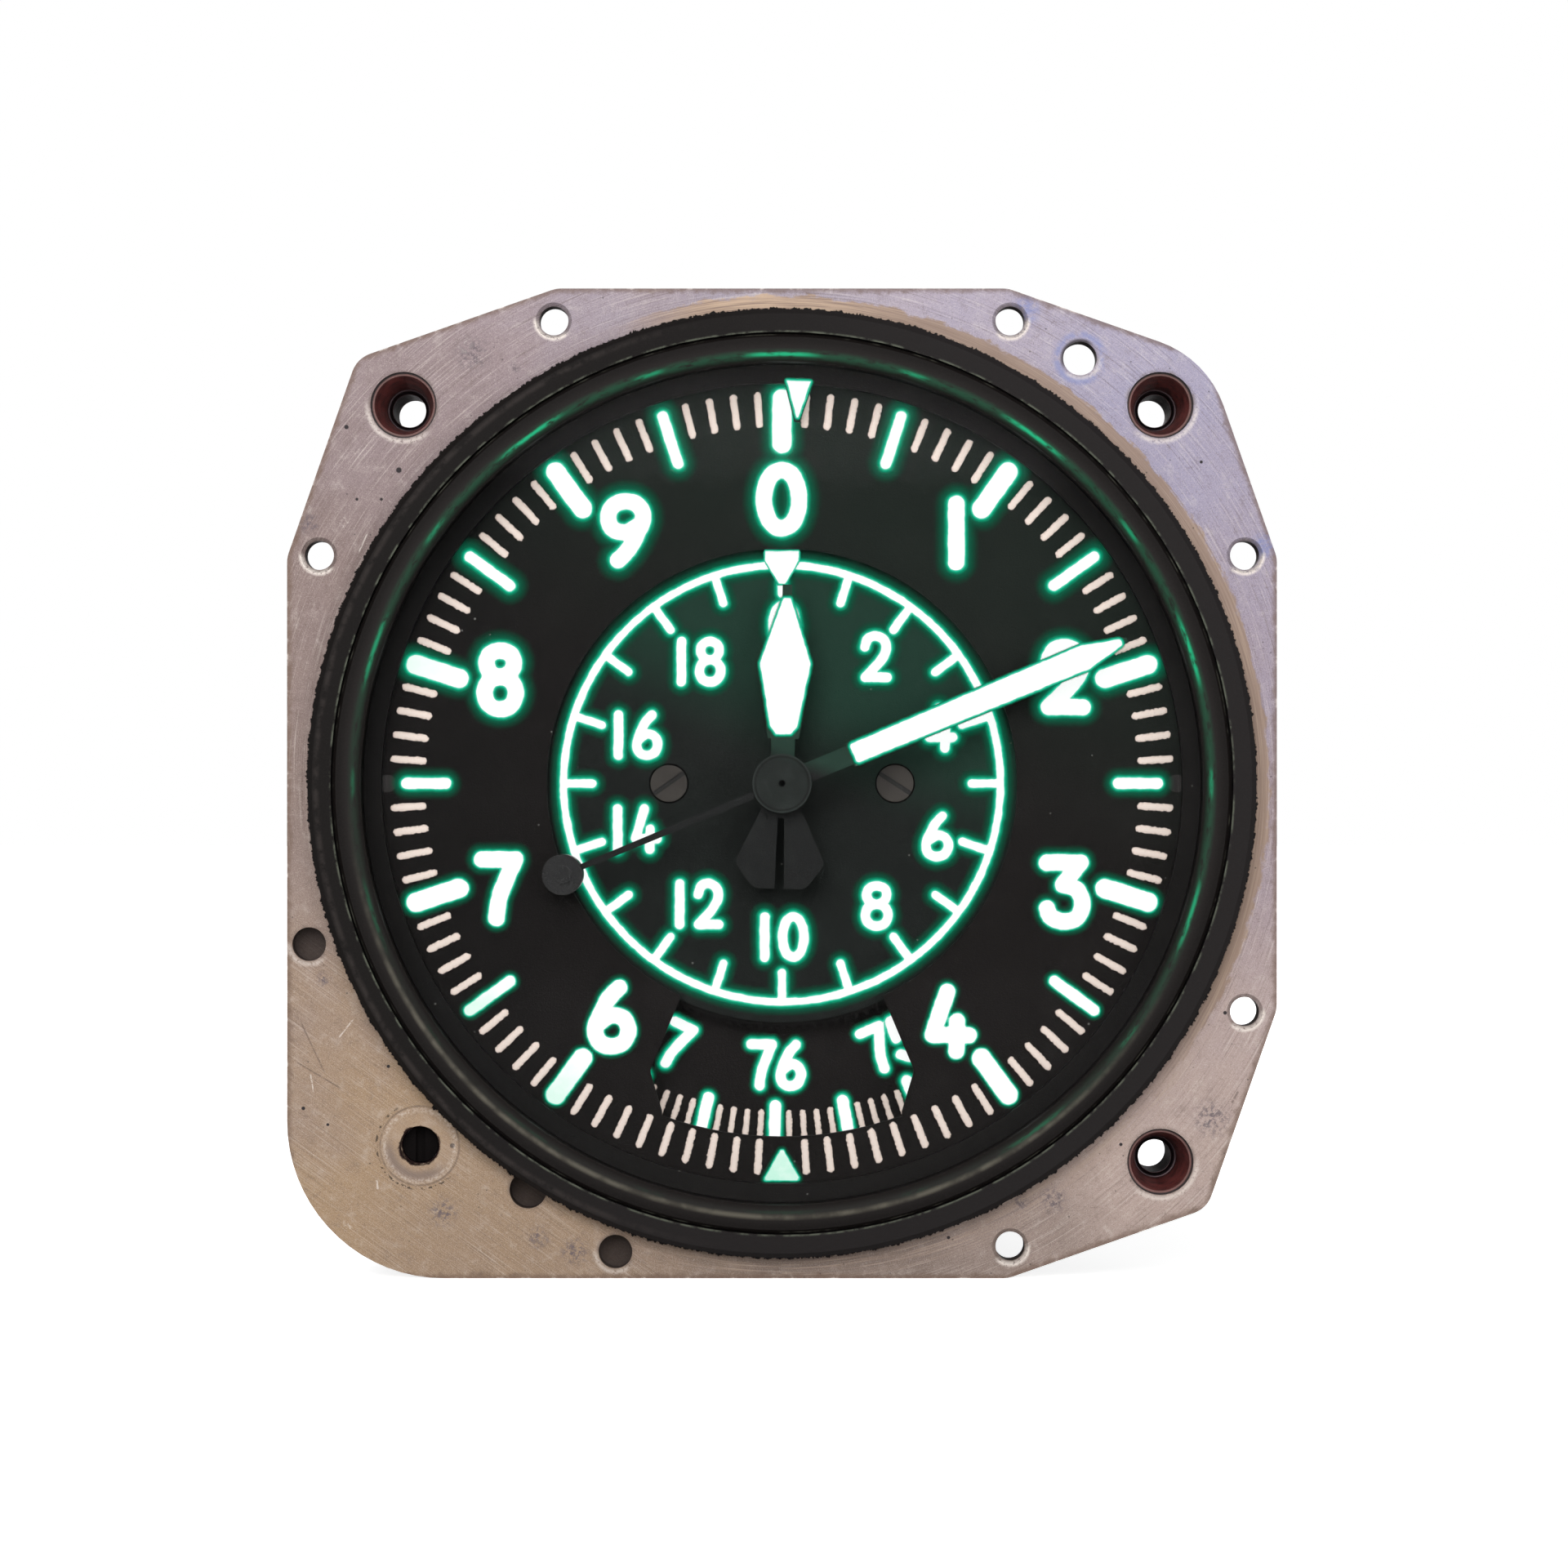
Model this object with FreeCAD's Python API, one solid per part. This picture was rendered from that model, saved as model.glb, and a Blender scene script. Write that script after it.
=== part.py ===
import FreeCAD, Part
import math
import os

# Aircraft altimeter with two pointers, a pressure scale in a window and two triangular indexes.
# Millimetres and degrees. The dial looks towards -Y, the case runs towards +Y and "0" is at +Z.
# The origin is on the dial axis, in the flange's front face, which is the panel seat.
# A bearing is a clock angle seen from the front, from +Z towards +X.

overrun = 1.0
backlash_share = 0.15
addendum_share = 0.8
dedendum_share = 1.1
pressure_angle = 20.0

# Flange, spigot and barrel of the casting
flange_rim = 1.9
flange_thickness = 3.0
flange_flat = 38.8
apex_place = 36.5
apex_round = 2.5
broad_round = 9.0
setting_round = 13.5
spigot_wall = 2.0
spigot_height = 2.0
spigot_chamfer = 0.4
barrel_wall = 1.4
plate_step = 0.45
wheel_clearance = 0.3

# Corner inserts, and the flange's small holes
mount_square = 65.0
boss_radius = 4.5
boss_depth = 14.5
boss_web = 6.0
collar_radius = 2.85
collar_recess = 0.5
collar_mouth = 2.55
collar_throat = 1.85
collar_throat_depth = 5.2
collar_length = 6.0
insert_length = 7.7
insert_mouth_depth = 0.7
insert_bore = 1.43
edge_hole_radius = 1.25
edge_hole_chamfer = 0.3
edge_hole_along = 19.6
edge_hole_out = 39.75
blind_hole_radius = 1.45
blind_hole_depth = 2.3
blind_left = (-40.6, -13.8)
blind_bottom = (-14.3, -40.2)
pin_hole = (25.6, 36.5)
plugged_radius = 1.6
plugged_place = (-21.8, -34.9)

# Glass, its gasket and its retaining ring
glass_clearance = 0.1
glass_ledge = 1.95
glass_thickness = 1.5
glass_seat = 0.9
gasket_thickness = 0.3
retaining_radius = 38.45
retaining_width = 2.35
retaining_step = 0.25
retaining_gap = 0.15
retaining_thickness = 1.0
retaining_round = 0.9
retaining_chamfer = 0.25

# Stack of the hands, dials and discs, front to back
hub_air = 0.5
cap_thickness = 0.7
hand_thickness = 0.5
hand_air = 0.7
tab_air = 0.2
index_rim_thickness = 0.5
index_teeth_thickness = 0.7
dial_air = 0.2
dial_thickness = 1.0
inner_tab_air = 0.2
inner_tab_thickness = 0.3
sub_air = 0.3
sub_thickness = 0.5
inner_disc_air = 0.4
inner_disc_thickness = 0.3
inner_teeth_thickness = 0.5
hub_gear_air = 0.25
hub_gear_thickness = 0.6
hub_flange_thickness = 0.5
pressure_thickness = 0.4
setting_thickness = 0.9
plate_air = 0.35
plate_thickness = 2.0

# Dials
dial_radius = 36.5
dial_opening = 20.44
window_top = (8.87, 18.73)
window_side = (11.5, 24.98)
window_foot = (10.43, 28.53)
window_arc = 30.73
window_round = 1.0
sub_radius = 20.85
sub_hole = 1.8
pressure_radius = 33.5
dial_screw_place = 34.3
dial_screw_head = 0.78
dial_screw_head_depth = 0.4
dial_screw_shank = 0.45
sub_screw_place = 9.87
sub_screw_head = 1.6
sub_screw_recess = 1.75
sub_screw_recess_depth = 0.3
sub_screw_proud = 0.15
sub_screw_shank = 0.7
sub_screw_slots = (55.0, 123.0)
slot_width = 0.4
slot_depth = 0.2

# Dial carrier
carrier_bore = 31.0
carrier_gap = 0.6
carrier_thickness = 1.2
tongue_width = 6.0
tongue_end = 21.9
carrier_screw_inset = 1.3
carrier_screw_head = 1.3
carrier_screw_head_depth = 0.7
carrier_screw_shank = 0.8
carrier_screw_length = 3.0
carrier_screw_bearings = (45.0, 135.0, 315.0)

# Setting train: teeth and modules, and running clearances
setting_module = 0.5
ring_teeth = 144
index_pinion_teeth = 32
wheel_teeth = 155
scale_pinion_teeth = 21
index_module = 0.3
hub_teeth = 82
index_wheel_teeth = 70
index_arbor_teeth = 10
inner_teeth = 142
running_gap = 0.06
ring_running_gap = 0.1
side_gap = 0.1
spindle_bearing = 225.0
ring_bore = 34.7
index_tab_angle = 2.4
index_tab_base = 1.35
index_tab_root = 35.0
index_tab_tip = 31.35
index_tab_tip_half = 0.25
inner_tab_half = 1.56
inner_tab_shoulder = 19.4
inner_tab_tip = 17.25
inner_tab_tip_half = 0.36
inner_riser = 0.35
post_radius = 11.2
post_spigot = 5.0
hub_pipe = 12.2
hub_flange_radius = 15.5
hub_collar = 12.6
wheel_window_radius = 5.0
wheel_window_place = 26.0
wheel_window_count = 8
index_stud_radius = 0.4
index_stud_shoulder = 0.8
index_stud_head = 0.9
index_stud_head_depth = 0.3

# Setting spindle, its gland and its housing
spindle_radius = 1.5
spindle_recess = 1.2
spindle_hole = 1.7
spindle_pivot = 1.0
spindle_pivot_length = 3.0
spindle_slot_depth = 0.5
packing_radius = 2.6
packing_front = 2.2
packing_thickness = 1.0
gland_radius = 3.2
gland_thickness = 0.95
housing_pocket = 8.9
pocket_front = 4.25
pocket_rear = 13.0
housing_rear = 16.0
pivot_depth = 1.9

# Movement plates
rear_plate_front = 30.0
rear_plate_gap = 4.9
pillar_radius = 2.2
pillar_place = 30.0
pillar_bearings = (45.0, 135.0, 225.0, 315.0)
plate_window = 6.5
plate_window_place = 27.0
screw_head_radius = 1.6
screw_head_height = 1.1
screw_shank_radius = 0.9
screw_shank_length = 4.0
pivot_bush_radius = 1.5
shaft_bush_radius = 2.2

# Hand train
train_module = 0.3
sector_module = 0.25
sector_teeth = 192
tube_pinion_teeth = 16
tube_wheel_teeth = 72
train_pinion_teeth = 18
train_wheel_teeth = 75
arbor_pinion_teeth = 15
train_bearing = 180.0
arbor_radius = 0.7
pivot_radius = 0.4
pivot_length = 1.8
tube_radius = 1.2
tube_rear = 22.6
train_arbor_radius = 1.0
tube_pinion_front = 14.7
tube_pinion_length = 1.8
tube_wheel_front = 18.0
train_wheel_front = 24.0
wheel_thickness = 0.8
wheel_hub_radius = 2.2
wheel_hub_length = 1.6
pinion_extra = 0.6
spoke_window_share = 0.2
spoke_place_share = 0.6
spoke_count = 5

# Hairspring
collet_radius = 2.2
collet_front = 20.3
collet_length = 1.2
spring_front = 20.6
spring_height = 0.6
spring_wire = 0.12
spring_pitch = 0.9
spring_half_turns = 13
spring_stud_radius = 0.7

# Sector, rocking shaft, crank and balance weight
hand_turn = 360.0
rest_turn = 3.37
short_bearing = 1.6
sector_front = 15.1
sector_thickness = 0.8
sector_hub_radius = 3.0
sector_hub_length = 2.0
sector_teeth_before = 3
sector_teeth_after = 19
sector_window_radius = 2.6
sector_window_share = 0.62
rocking_radius = 1.2
rocking_pivot = 0.5
crank_length = 8.0
crank_hub_radius = 2.4
crank_front = 61.4
crank_thickness = 1.2
crank_width = 1.6
crank_pin = 0.6
crank_pin_head = 0.9
crank_pin_head_depth = 0.3
balance_front = 56.0
balance_thickness = 1.4
balance_arm = 9.5
balance_width = 1.4
balance_radius = 2.4
balance_length = 3.4
bridge_plate = 1.5
bridge_width = 10.0
bridge_rear = 68.0
bridge_foot_width = 6.0
bridge_top = 33.0
bridge_foot_drop = 3.2
bridge_screw_spread = 3.4

# Aneroid capsules, link and bracket
capsule_gap = 3.5
capsule_room = 6.5
capsule_radius = 25.0
capsule_height = 8.6
capsule_boss = 3.5
capsule_rim = 1.0
capsule_flange = 1.0
capsule_dome = 4.6
capsule_wall = 0.3
capsule_wave = 0.45
wave_count = 4
points_per_wave = 4
capsule_top = 0.0
foot_radius = 2.5
foot_flange_radius = 5.0
foot_flange_thickness = 1.5
foot_length = 9.5
foot_nut_radius = 4.0
foot_nut_thickness = 2.0
bracket_top = -22.0
bracket_thickness = 2.0
bracket_width = 18.0
bracket_rear = 75.0
bracket_rise = 12.0
bracket_screw_spread = 6.0
stem_base_radius = 3.0
stem_base_thickness = 1.0
stem_radius = 1.4
fork_half = 1.2
fork_slot = 1.9
fork_cheek = 0.9
fork_depth = 2.2
fork_over = 1.5
link_length = 14.0
link_thickness = 1.2
link_width = 1.0
link_eye = 1.3
link_open_gap = 0.25

# Hands, seen from the front
cap_radius = 2.55
cap_hole = 0.285
hub_boss_radius = 1.9
hub_boss_length = 0.45
stem_half = 0.85
bar_start = 6.4
bar_half_start = 1.1
tip_taper = 3.86
bar_half_end = 1.27
long_end_gap = 3.99
long_tip_half = 0.2
tail_half_start = 0.32
tail_half_end = 0.25
tail_length = 20.5
counter_radius = 1.76
counter_rivet = 0.78
counter_thickness = 0.3
counter_back_thickness = 2.15
rivet_height = 0.2
long_bearing = 67.4
short_hub_radius = 2.1
short_hub_length = 1.1
short_stem_half = 1.02
short_bottom = 3.9
short_bottom_half = 1.35
short_wide = 10.4
short_wide_half = 2.33
short_neck = 16.1
short_neck_half = 0.42
short_tip = 17.2
short_tail_start = 2.2
short_tail_start_half = 1.7
short_tail_wide = 6.9
short_tail_wide_half = 3.9
short_tail_end = 9.1
short_tail_end_half = 2.3
short_slit_half_start = 0.28
short_slit_half_end = 0.43
short_slit_start = 3.0

# Rear cover, static port and their screws
cover_rim_gap = 0.05
cover_rim_wall = 3.45
cover_rim_depth = 6.0
cover_gasket_thickness = 0.5
cover_thickness = 2.0
radial_screw_head = 1.5
radial_screw_head_depth = 1.0
radial_screw_shank = 0.7
radial_screw_length = 3.4
cover_screw_count = 6
movement_screw_bearings = (60.0, 180.0, 300.0)
port_height = 22.0
port_shank_radius = 4.0
port_boss_radius = 6.5
port_boss_depth = 3.5
port_washer_radius = 7.0
port_washer_thickness = 0.6
port_hex = 12.0
port_hex_length = 4.0
port_radius = 3.0
port_straight = 6.4
port_barb_radius = 3.2
port_barb_tip = 2.6
port_barb_length = 2.6
port_bore = 1.6

# Places worked out from the sizes above
retaining_bore = retaining_radius - retaining_width
glass_radius = retaining_radius - retaining_step
lip_bore = glass_radius - glass_ledge
spigot_radius = retaining_radius + retaining_gap + spigot_wall
half_side = spigot_radius + flange_rim
long_tip = lip_bore - long_end_gap
bar_end = long_tip - tip_taper
half_flat = flange_flat / 2
half_mount = mount_square / 2
wheel_tip = setting_module * (wheel_teeth / 2 + addendum_share)
wheel_bore = wheel_tip + wheel_clearance
barrel_bore = wheel_bore + plate_step
case_radius = barrel_bore + barrel_wall
carrier_radius = barrel_bore - carrier_gap
carrier_screw_place = carrier_radius - carrier_screw_inset
rear_plate_radius = barrel_bore - rear_plate_gap
glass_back = glass_seat - gasket_thickness
glass_front = glass_back - glass_thickness
cap_front = glass_back + hub_air
long_front = cap_front + cap_thickness
long_back = long_front + hand_thickness
short_front = long_back + hand_air
short_back = short_front + hand_thickness
index_front = short_back + tab_air
index_teeth_front = index_front + index_rim_thickness
index_back = index_teeth_front + index_teeth_thickness
dial_front = index_back + dial_air
dial_back = dial_front + dial_thickness
carrier_back = dial_back + carrier_thickness
inner_tab_front = dial_back + inner_tab_air
inner_tab_back = inner_tab_front + inner_tab_thickness
sub_front = inner_tab_back + sub_air
sub_back = sub_front + sub_thickness
inner_disc_front = sub_back + inner_disc_air
inner_disc_back = inner_disc_front + inner_disc_thickness
inner_teeth_back = inner_disc_back + inner_teeth_thickness
hub_gear_front = inner_teeth_back + hub_gear_air
hub_gear_back = hub_gear_front + hub_gear_thickness
pressure_front = hub_gear_back + hub_flange_thickness
setting_front = pressure_front + pressure_thickness
setting_back = setting_front + setting_thickness
plate_front = setting_back + plate_air
plate_back = plate_front + plate_thickness
rear_plate_back = rear_plate_front + plate_thickness
capsule_centre = rear_plate_back + capsule_gap + capsule_radius
case_depth = capsule_centre + capsule_radius + capsule_room
index_bore = dial_radius + ring_running_gap
cover_front = case_depth + cover_gasket_thickness
cover_back = cover_front + cover_thickness
port_front = cover_back + port_washer_thickness
spindle_place = setting_module * (ring_teeth + index_pinion_teeth) / 2
index_arbor_place = index_module * (hub_teeth + index_wheel_teeth) / 2
train_place = train_module * (tube_wheel_teeth + train_pinion_teeth) / 2
rocking_place = sector_module * (sector_teeth + tube_pinion_teeth) / 2
sector_ratio = sector_teeth / tube_pinion_teeth
swing = hand_turn / sector_ratio
crank_rest = swing / 2 - rest_turn / sector_ratio
rocking_x = -crank_length * (1 + math.cos(math.radians(swing / 2))) / 2
rocking_z = math.sqrt(rocking_place**2 - rocking_x**2)
crank_pin_x = rocking_x + crank_length * math.cos(math.radians(crank_rest))
crank_pin_z = rocking_z - crank_length * math.sin(math.radians(crank_rest))
stem_pin_z = crank_pin_z - link_length

V = FreeCAD.Vector
AXIS = V(0, 1, 0)
ORIGIN = V(0, 0, 0)


def at(radius, bearing, y=0.0):
    """Point at a radius from the dial axis and at a bearing."""
    a = math.radians(bearing)
    return V(radius * math.sin(a), y, radius * math.cos(a))


def disc(radius, front, back, x=0.0, z=0.0):
    """Cylinder along the dial's direction, from front to back."""
    return Part.makeCylinder(radius, back - front, V(x, front, z), AXIS)


def ring(outer, inner, front, back, x=0.0, z=0.0):
    """Cylinder along the dial's direction with a bore."""
    return disc(outer, front, back, x, z).cut(disc(inner, front - overrun, back + overrun, x, z))


def upright(radius, low, high, x=0.0, y=0.0):
    """Cylinder along Z."""
    return Part.makeCylinder(radius, high - low, V(x, y, low), V(0, 0, 1))


def block(x, y, z):
    """Box between three pairs of coordinates."""
    return Part.makeBox(x[1] - x[0], y[1] - y[0], z[1] - z[0], V(x[0], y[0], z[0]))


def cone(front_radius, back_radius, front, back, x=0.0, z=0.0):
    """Cone along the dial's direction."""
    return Part.makeCone(front_radius, back_radius, back - front, V(x, front, z), AXIS)


def plate(points, front, back):
    """Flat plate with straight edges through (x, z) points."""
    loop = [V(x, front, z) for x, z in points]
    return Part.Face(Part.makePolygon(loop + loop[:1])).extrude(V(0, back - front, 0))


def rounded_plate(corners, front, back):
    """Flat plate through (x, z, radius) corners, each corner rounded by its radius."""
    starts, arcs, ends = [], [], []
    count = len(corners)
    for i, (x, z, radius) in enumerate(corners):
        corner = V(x, front, z)
        before, after = corners[i - 1], corners[(i + 1) % count]
        a = (V(before[0], front, before[1]) - corner).normalize()
        b = (V(after[0], front, after[1]) - corner).normalize()
        half = a.getAngle(b) / 2
        reach = radius / math.tan(half)
        start, end = corner + a * reach, corner + b * reach
        middle = corner + (a + b).normalize() * (radius / math.sin(half) - radius)
        starts.append(start)
        ends.append(end)
        arcs.append(Part.Arc(start, middle, end).toShape() if radius else None)
    edges = []
    for i in range(count):
        if arcs[i]:
            edges.append(arcs[i])
        edges.append(Part.LineSegment(ends[i], starts[(i + 1) % count]).toShape())
    return Part.Face(Part.Wire(edges)).extrude(V(0, back - front, 0))


def lathe(profile, centre, axis):
    """Solid of revolution from a closed list of edges."""
    return Part.Face(Part.Wire(profile)).revolve(centre, axis, hand_turn)


def turned(shape, bearing):
    """The shape turned about the dial axis by a bearing."""
    copy = shape.copy()
    copy.rotate(ORIGIN, AXIS, bearing)
    return copy


def moved(shape, x, z):
    """The shape shifted across the dial."""
    copy = shape.copy()
    copy.translate(V(x, 0, z))
    return copy


def fused(shapes):
    """One solid from several that overlap or touch."""
    first, *rest = shapes
    return first.fuse(rest).removeSplitter() if rest else first


def involute(angle):
    """Involute function of an angle in radians."""
    return math.tan(angle) - angle


def half_tooth(teeth, module, radius):
    """Half of a tooth's angle at a radius, in radians, for a tooth thinned by the backlash."""
    pressure = math.radians(pressure_angle)
    base = module * teeth / 2 * math.cos(pressure)
    at_base = math.pi / (2 * teeth) * (1 - backlash_share) + involute(pressure)
    return at_base - involute(math.acos(base / radius)) if radius > base else at_base


def tooth_points(teeth, module, bearing):
    """The six corners of one tooth centred on a bearing, from root to root, about the gear's own axis."""
    pitch = module * teeth / 2
    root, tip = pitch - dedendum_share * module, pitch + addendum_share * module
    centre = math.radians(bearing)
    points = []
    for radius, side in ((root, -1), (pitch, -1), (tip, -1), (tip, 1), (pitch, 1), (root, 1)):
        a = centre + side * half_tooth(teeth, module, radius)
        points.append((radius * math.sin(a), radius * math.cos(a)))
    return points


def gear(teeth, module, tooth_bearing, front, back, bore=0.0):
    """Spur gear about the Y axis with one tooth centred on a bearing."""
    points = []
    for k in range(teeth):
        points += tooth_points(teeth, module, tooth_bearing + k * hand_turn / teeth)
    body = plate(points, front, back)
    return body.cut(disc(bore, front - overrun, back + overrun)) if bore else body


def gap_at(teeth, bearing):
    """The tooth bearing that puts a gap between teeth on a bearing."""
    return bearing + hand_turn / (2 * teeth)


def spoked(teeth, module, body):
    """The gear with a circle of round windows that leaves spokes."""
    pitch = module * teeth / 2
    window = disc(spoke_window_share * pitch, -overrun, case_depth)
    for k in range(spoke_count):
        place = at(spoke_place_share * pitch, k * hand_turn / spoke_count)
        body = body.cut(moved(window, place.x, place.z))
    return body


def slotted_screw(head, head_depth, shank, length, front, slot_bearing=0.0):
    """Screw along the dial's direction, with its slotted head to the front."""
    body = fused([disc(head, front, front + head_depth), disc(shank, front, front + head_depth + length)])
    slot = block((-slot_width / 2, slot_width / 2), (front - overrun, front + slot_depth), (-head, head))
    return body.cut(turned(slot, slot_bearing))


def radial_screw(bearing, y):
    """Flush screw through the barrel's wall towards the axis."""
    screw = slotted_screw(radial_screw_head, radial_screw_head_depth, radial_screw_shank,
                          radial_screw_length, 0.0)
    screw.rotate(ORIGIN, V(1, 0, 0), -90)
    screw.translate(V(0, y, case_radius))
    return turned(screw, bearing)


def radial_holes(bearings, y):
    """The holes of a set of radial screws: head and shank."""
    holes = []
    for bearing in bearings:
        head_low = case_radius - radial_screw_head_depth
        head = upright(radial_screw_head, head_low, case_radius + overrun, 0.0, y)
        shank = upright(radial_screw_shank, head_low - radial_screw_length, case_radius, 0.0, y)
        holes += [turned(head, bearing), turned(shank, bearing)]
    return holes


cover_screw_y = cover_front - cover_rim_depth / 2
cover_screw_bearings = [hand_turn * (k + 0.5) / cover_screw_count for k in range(cover_screw_count)]
movement_screw_y = plate_front + plate_thickness / 2
spindle_at = at(spindle_place, spindle_bearing)
train_at = at(train_place, train_bearing)
mount_corners = ((-half_mount, half_mount), (half_mount, half_mount), (half_mount, -half_mount))


def flange():
    """Square flange with three corners cut by two slants each, and one large round at the gears."""
    slanted = []
    for sx, sz, corner in ((-1, 1, apex_round), (1, 1, broad_round), (1, -1, apex_round)):
        sides = [(sx * half_side, sz * half_flat, apex_round), (sx * apex_place, sz * apex_place, corner),
                 (sx * half_flat, sz * half_side, apex_round)]
        slanted += sides if sx * sz < 0 else sides[::-1]
    corners = slanted + [(-half_side, -half_side, setting_round)]
    return rounded_plate(corners, 0.0, flange_thickness)


def edge_hole_places():
    """Places of the six small through holes near the flange's edges."""
    along, out = edge_hole_along, edge_hole_out
    return ((-along, out), (along, out), (-out, along), (out, along), (out, -along), (along, -out))


def corner_boss(x, z):
    """Round boss behind a flange corner, with its web to the barrel."""
    boss = disc(boss_radius, 0.0, boss_depth, x, z)
    reach = math.hypot(x, z)
    web = block((-boss_web / 2, boss_web / 2), (0.0, boss_depth), (barrel_bore + side_gap, reach))
    return fused([boss, turned(web, math.degrees(math.atan2(x, z)))])


def case_casting():
    """Flange, spigot, barrel, corner bosses and the housing of the setting gears, in one casting."""
    solids = [flange(), disc(case_radius, 0.0, case_depth)]
    solids += [corner_boss(x, z) for x, z in mount_corners]
    round_place = half_side - setting_round
    solids.append(disc(setting_round, 0.0, housing_rear, -round_place, -round_place))
    body = fused(solids)
    cuts = [disc(plugged_radius, -overrun, blind_hole_depth, *plugged_place)]
    for place in (blind_left, blind_bottom):
        cuts.append(disc(blind_hole_radius, -overrun, blind_hole_depth, *place))
    cuts.append(disc(blind_hole_radius, -overrun, flange_thickness + overrun, *pin_hole))
    for x, z in edge_hole_places():
        cuts.append(disc(edge_hole_radius, -overrun, flange_thickness + overrun, x, z))
        wide = edge_hole_radius + edge_hole_chamfer
        cuts.append(cone(wide, edge_hole_radius, 0.0, edge_hole_chamfer, x, z))
    for x, z in mount_corners:
        cuts.append(disc(collar_radius, -overrun, boss_depth + overrun, x, z))
    body = body.cut(cuts)
    straight = spigot_height - spigot_chamfer
    body = fused([body, disc(spigot_radius, -straight, 0.0),
                  cone(spigot_radius - spigot_chamfer, spigot_radius, -spigot_height, -straight)])
    bores = [(retaining_radius + retaining_gap, -spigot_height - overrun, glass_front),
             (glass_radius + glass_clearance, -spigot_height, glass_seat),
             (lip_bore, 0.0, index_front),
             (index_bore, index_front - side_gap, dial_back),
             (wheel_bore, dial_back, plate_front),
             (barrel_bore, plate_front, case_depth + overrun)]
    cuts = [disc(*bore) for bore in bores]
    cuts += spindle_bores() + radial_holes(cover_screw_bearings, cover_screw_y)
    cuts += radial_holes(movement_screw_bearings, movement_screw_y)
    for bearing in carrier_screw_bearings:
        place = at(carrier_screw_place, bearing)
        cuts.append(disc(carrier_screw_shank, dial_back - carrier_screw_length + carrier_thickness,
                         dial_back + overrun, place.x, place.z))
    return body.cut(cuts)


def spindle_bores():
    """Holes, gland seat, gear pocket and rear bearing of the setting spindle."""
    x, z = spindle_at.x, spindle_at.z
    return [disc(spindle_hole, -overrun, spindle_recess, x, z),
            disc(spindle_radius + running_gap, 0.0, pocket_front + overrun, x, z),
            disc(packing_radius, packing_front, pocket_front, x, z),
            disc(gland_radius, packing_front + packing_thickness, pocket_front + overrun, x, z),
            disc(housing_pocket, pocket_front, pocket_rear, x, z),
            disc(spindle_pivot + running_gap, pocket_front, pocket_rear + pivot_depth, x, z)]


def corner_collars():
    """Fibre collars in the three corner bosses, each with a long conical mouth."""
    back = collar_recess + collar_length
    body = ring(collar_radius, collar_throat, collar_recess, back)
    mouth = cone(collar_mouth, collar_throat, collar_recess, collar_recess + collar_throat_depth)
    return [moved(body.cut(mouth), x, z) for x, z in mount_corners]


def corner_inserts():
    """Threaded inserts behind the collars, with countersunk mouths."""
    front = collar_recess + collar_length
    body = ring(collar_radius, insert_bore, front, front + insert_length)
    mouth = cone(collar_throat, insert_bore, front, front + insert_mouth_depth)
    return [moved(body.cut(mouth), x, z) for x, z in mount_corners]


def retaining_ring():
    """Ring that holds the glass, with its front edge rounded towards the dial."""
    front, back = glass_front - retaining_thickness, glass_front
    turn = V(retaining_bore + retaining_round, front + retaining_round, 0)
    a, b = V(retaining_bore, back, 0), V(retaining_bore, front + retaining_round, 0)
    diagonal = retaining_round * math.sqrt(0.5)
    middle = V(turn.x - diagonal, turn.y - diagonal, 0)
    c, d = V(turn.x, front, 0), V(retaining_radius - retaining_chamfer, front, 0)
    e, f = V(retaining_radius, front + retaining_chamfer, 0), V(retaining_radius, back, 0)
    edges = [Part.LineSegment(a, b), Part.Arc(b, middle, c), Part.LineSegment(c, d),
             Part.LineSegment(d, e), Part.LineSegment(e, f), Part.LineSegment(f, a)]
    return [lathe([edge.toShape() for edge in edges], ORIGIN, AXIS)]


def cover_glass():
    """Flat glass behind the retaining ring."""
    return [disc(glass_radius, glass_front, glass_back)]


def glass_gasket():
    """Flat rubber ring between the glass and the lip."""
    return [ring(glass_radius, lip_bore, glass_back, glass_seat)]


def main_dial():
    """Main dial: a disc with a round opening that runs into the pressure window."""
    opening = disc(dial_opening, dial_front - overrun, dial_back + overrun)
    inside = dial_opening / 2
    corners = [(-window_top[0], -inside, 0.0), (-window_top[0], -window_top[1], window_round),
               (-window_side[0], -window_side[1], window_round),
               (-window_foot[0], -window_foot[1], 0.0), (-window_foot[0], -window_arc, 0.0),
               (window_foot[0], -window_arc, 0.0), (window_foot[0], -window_foot[1], 0.0),
               (window_side[0], -window_side[1], window_round),
               (window_top[0], -window_top[1], window_round), (window_top[0], -inside, 0.0)]
    window = rounded_plate(corners, dial_front - overrun, dial_back + overrun)
    window = window.common(disc(window_arc, dial_front - overrun, dial_back + overrun))
    cuts = [opening, window]
    for x in (-dial_screw_place, dial_screw_place):
        cuts.append(disc(dial_screw_shank, dial_front, dial_back + overrun, x))
        cuts.append(disc(dial_screw_head, dial_front - overrun, dial_front + dial_screw_head_depth, x))
    return [disc(dial_radius, dial_front, dial_back).cut(cuts)]


def dial_screws():
    """Two small flush screws of the main dial."""
    length = carrier_back - dial_front - dial_screw_head_depth
    screw = slotted_screw(dial_screw_head, dial_screw_head_depth, dial_screw_shank, length, dial_front)
    return [moved(screw, x, 0) for x in (-dial_screw_place, dial_screw_place)]


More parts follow.
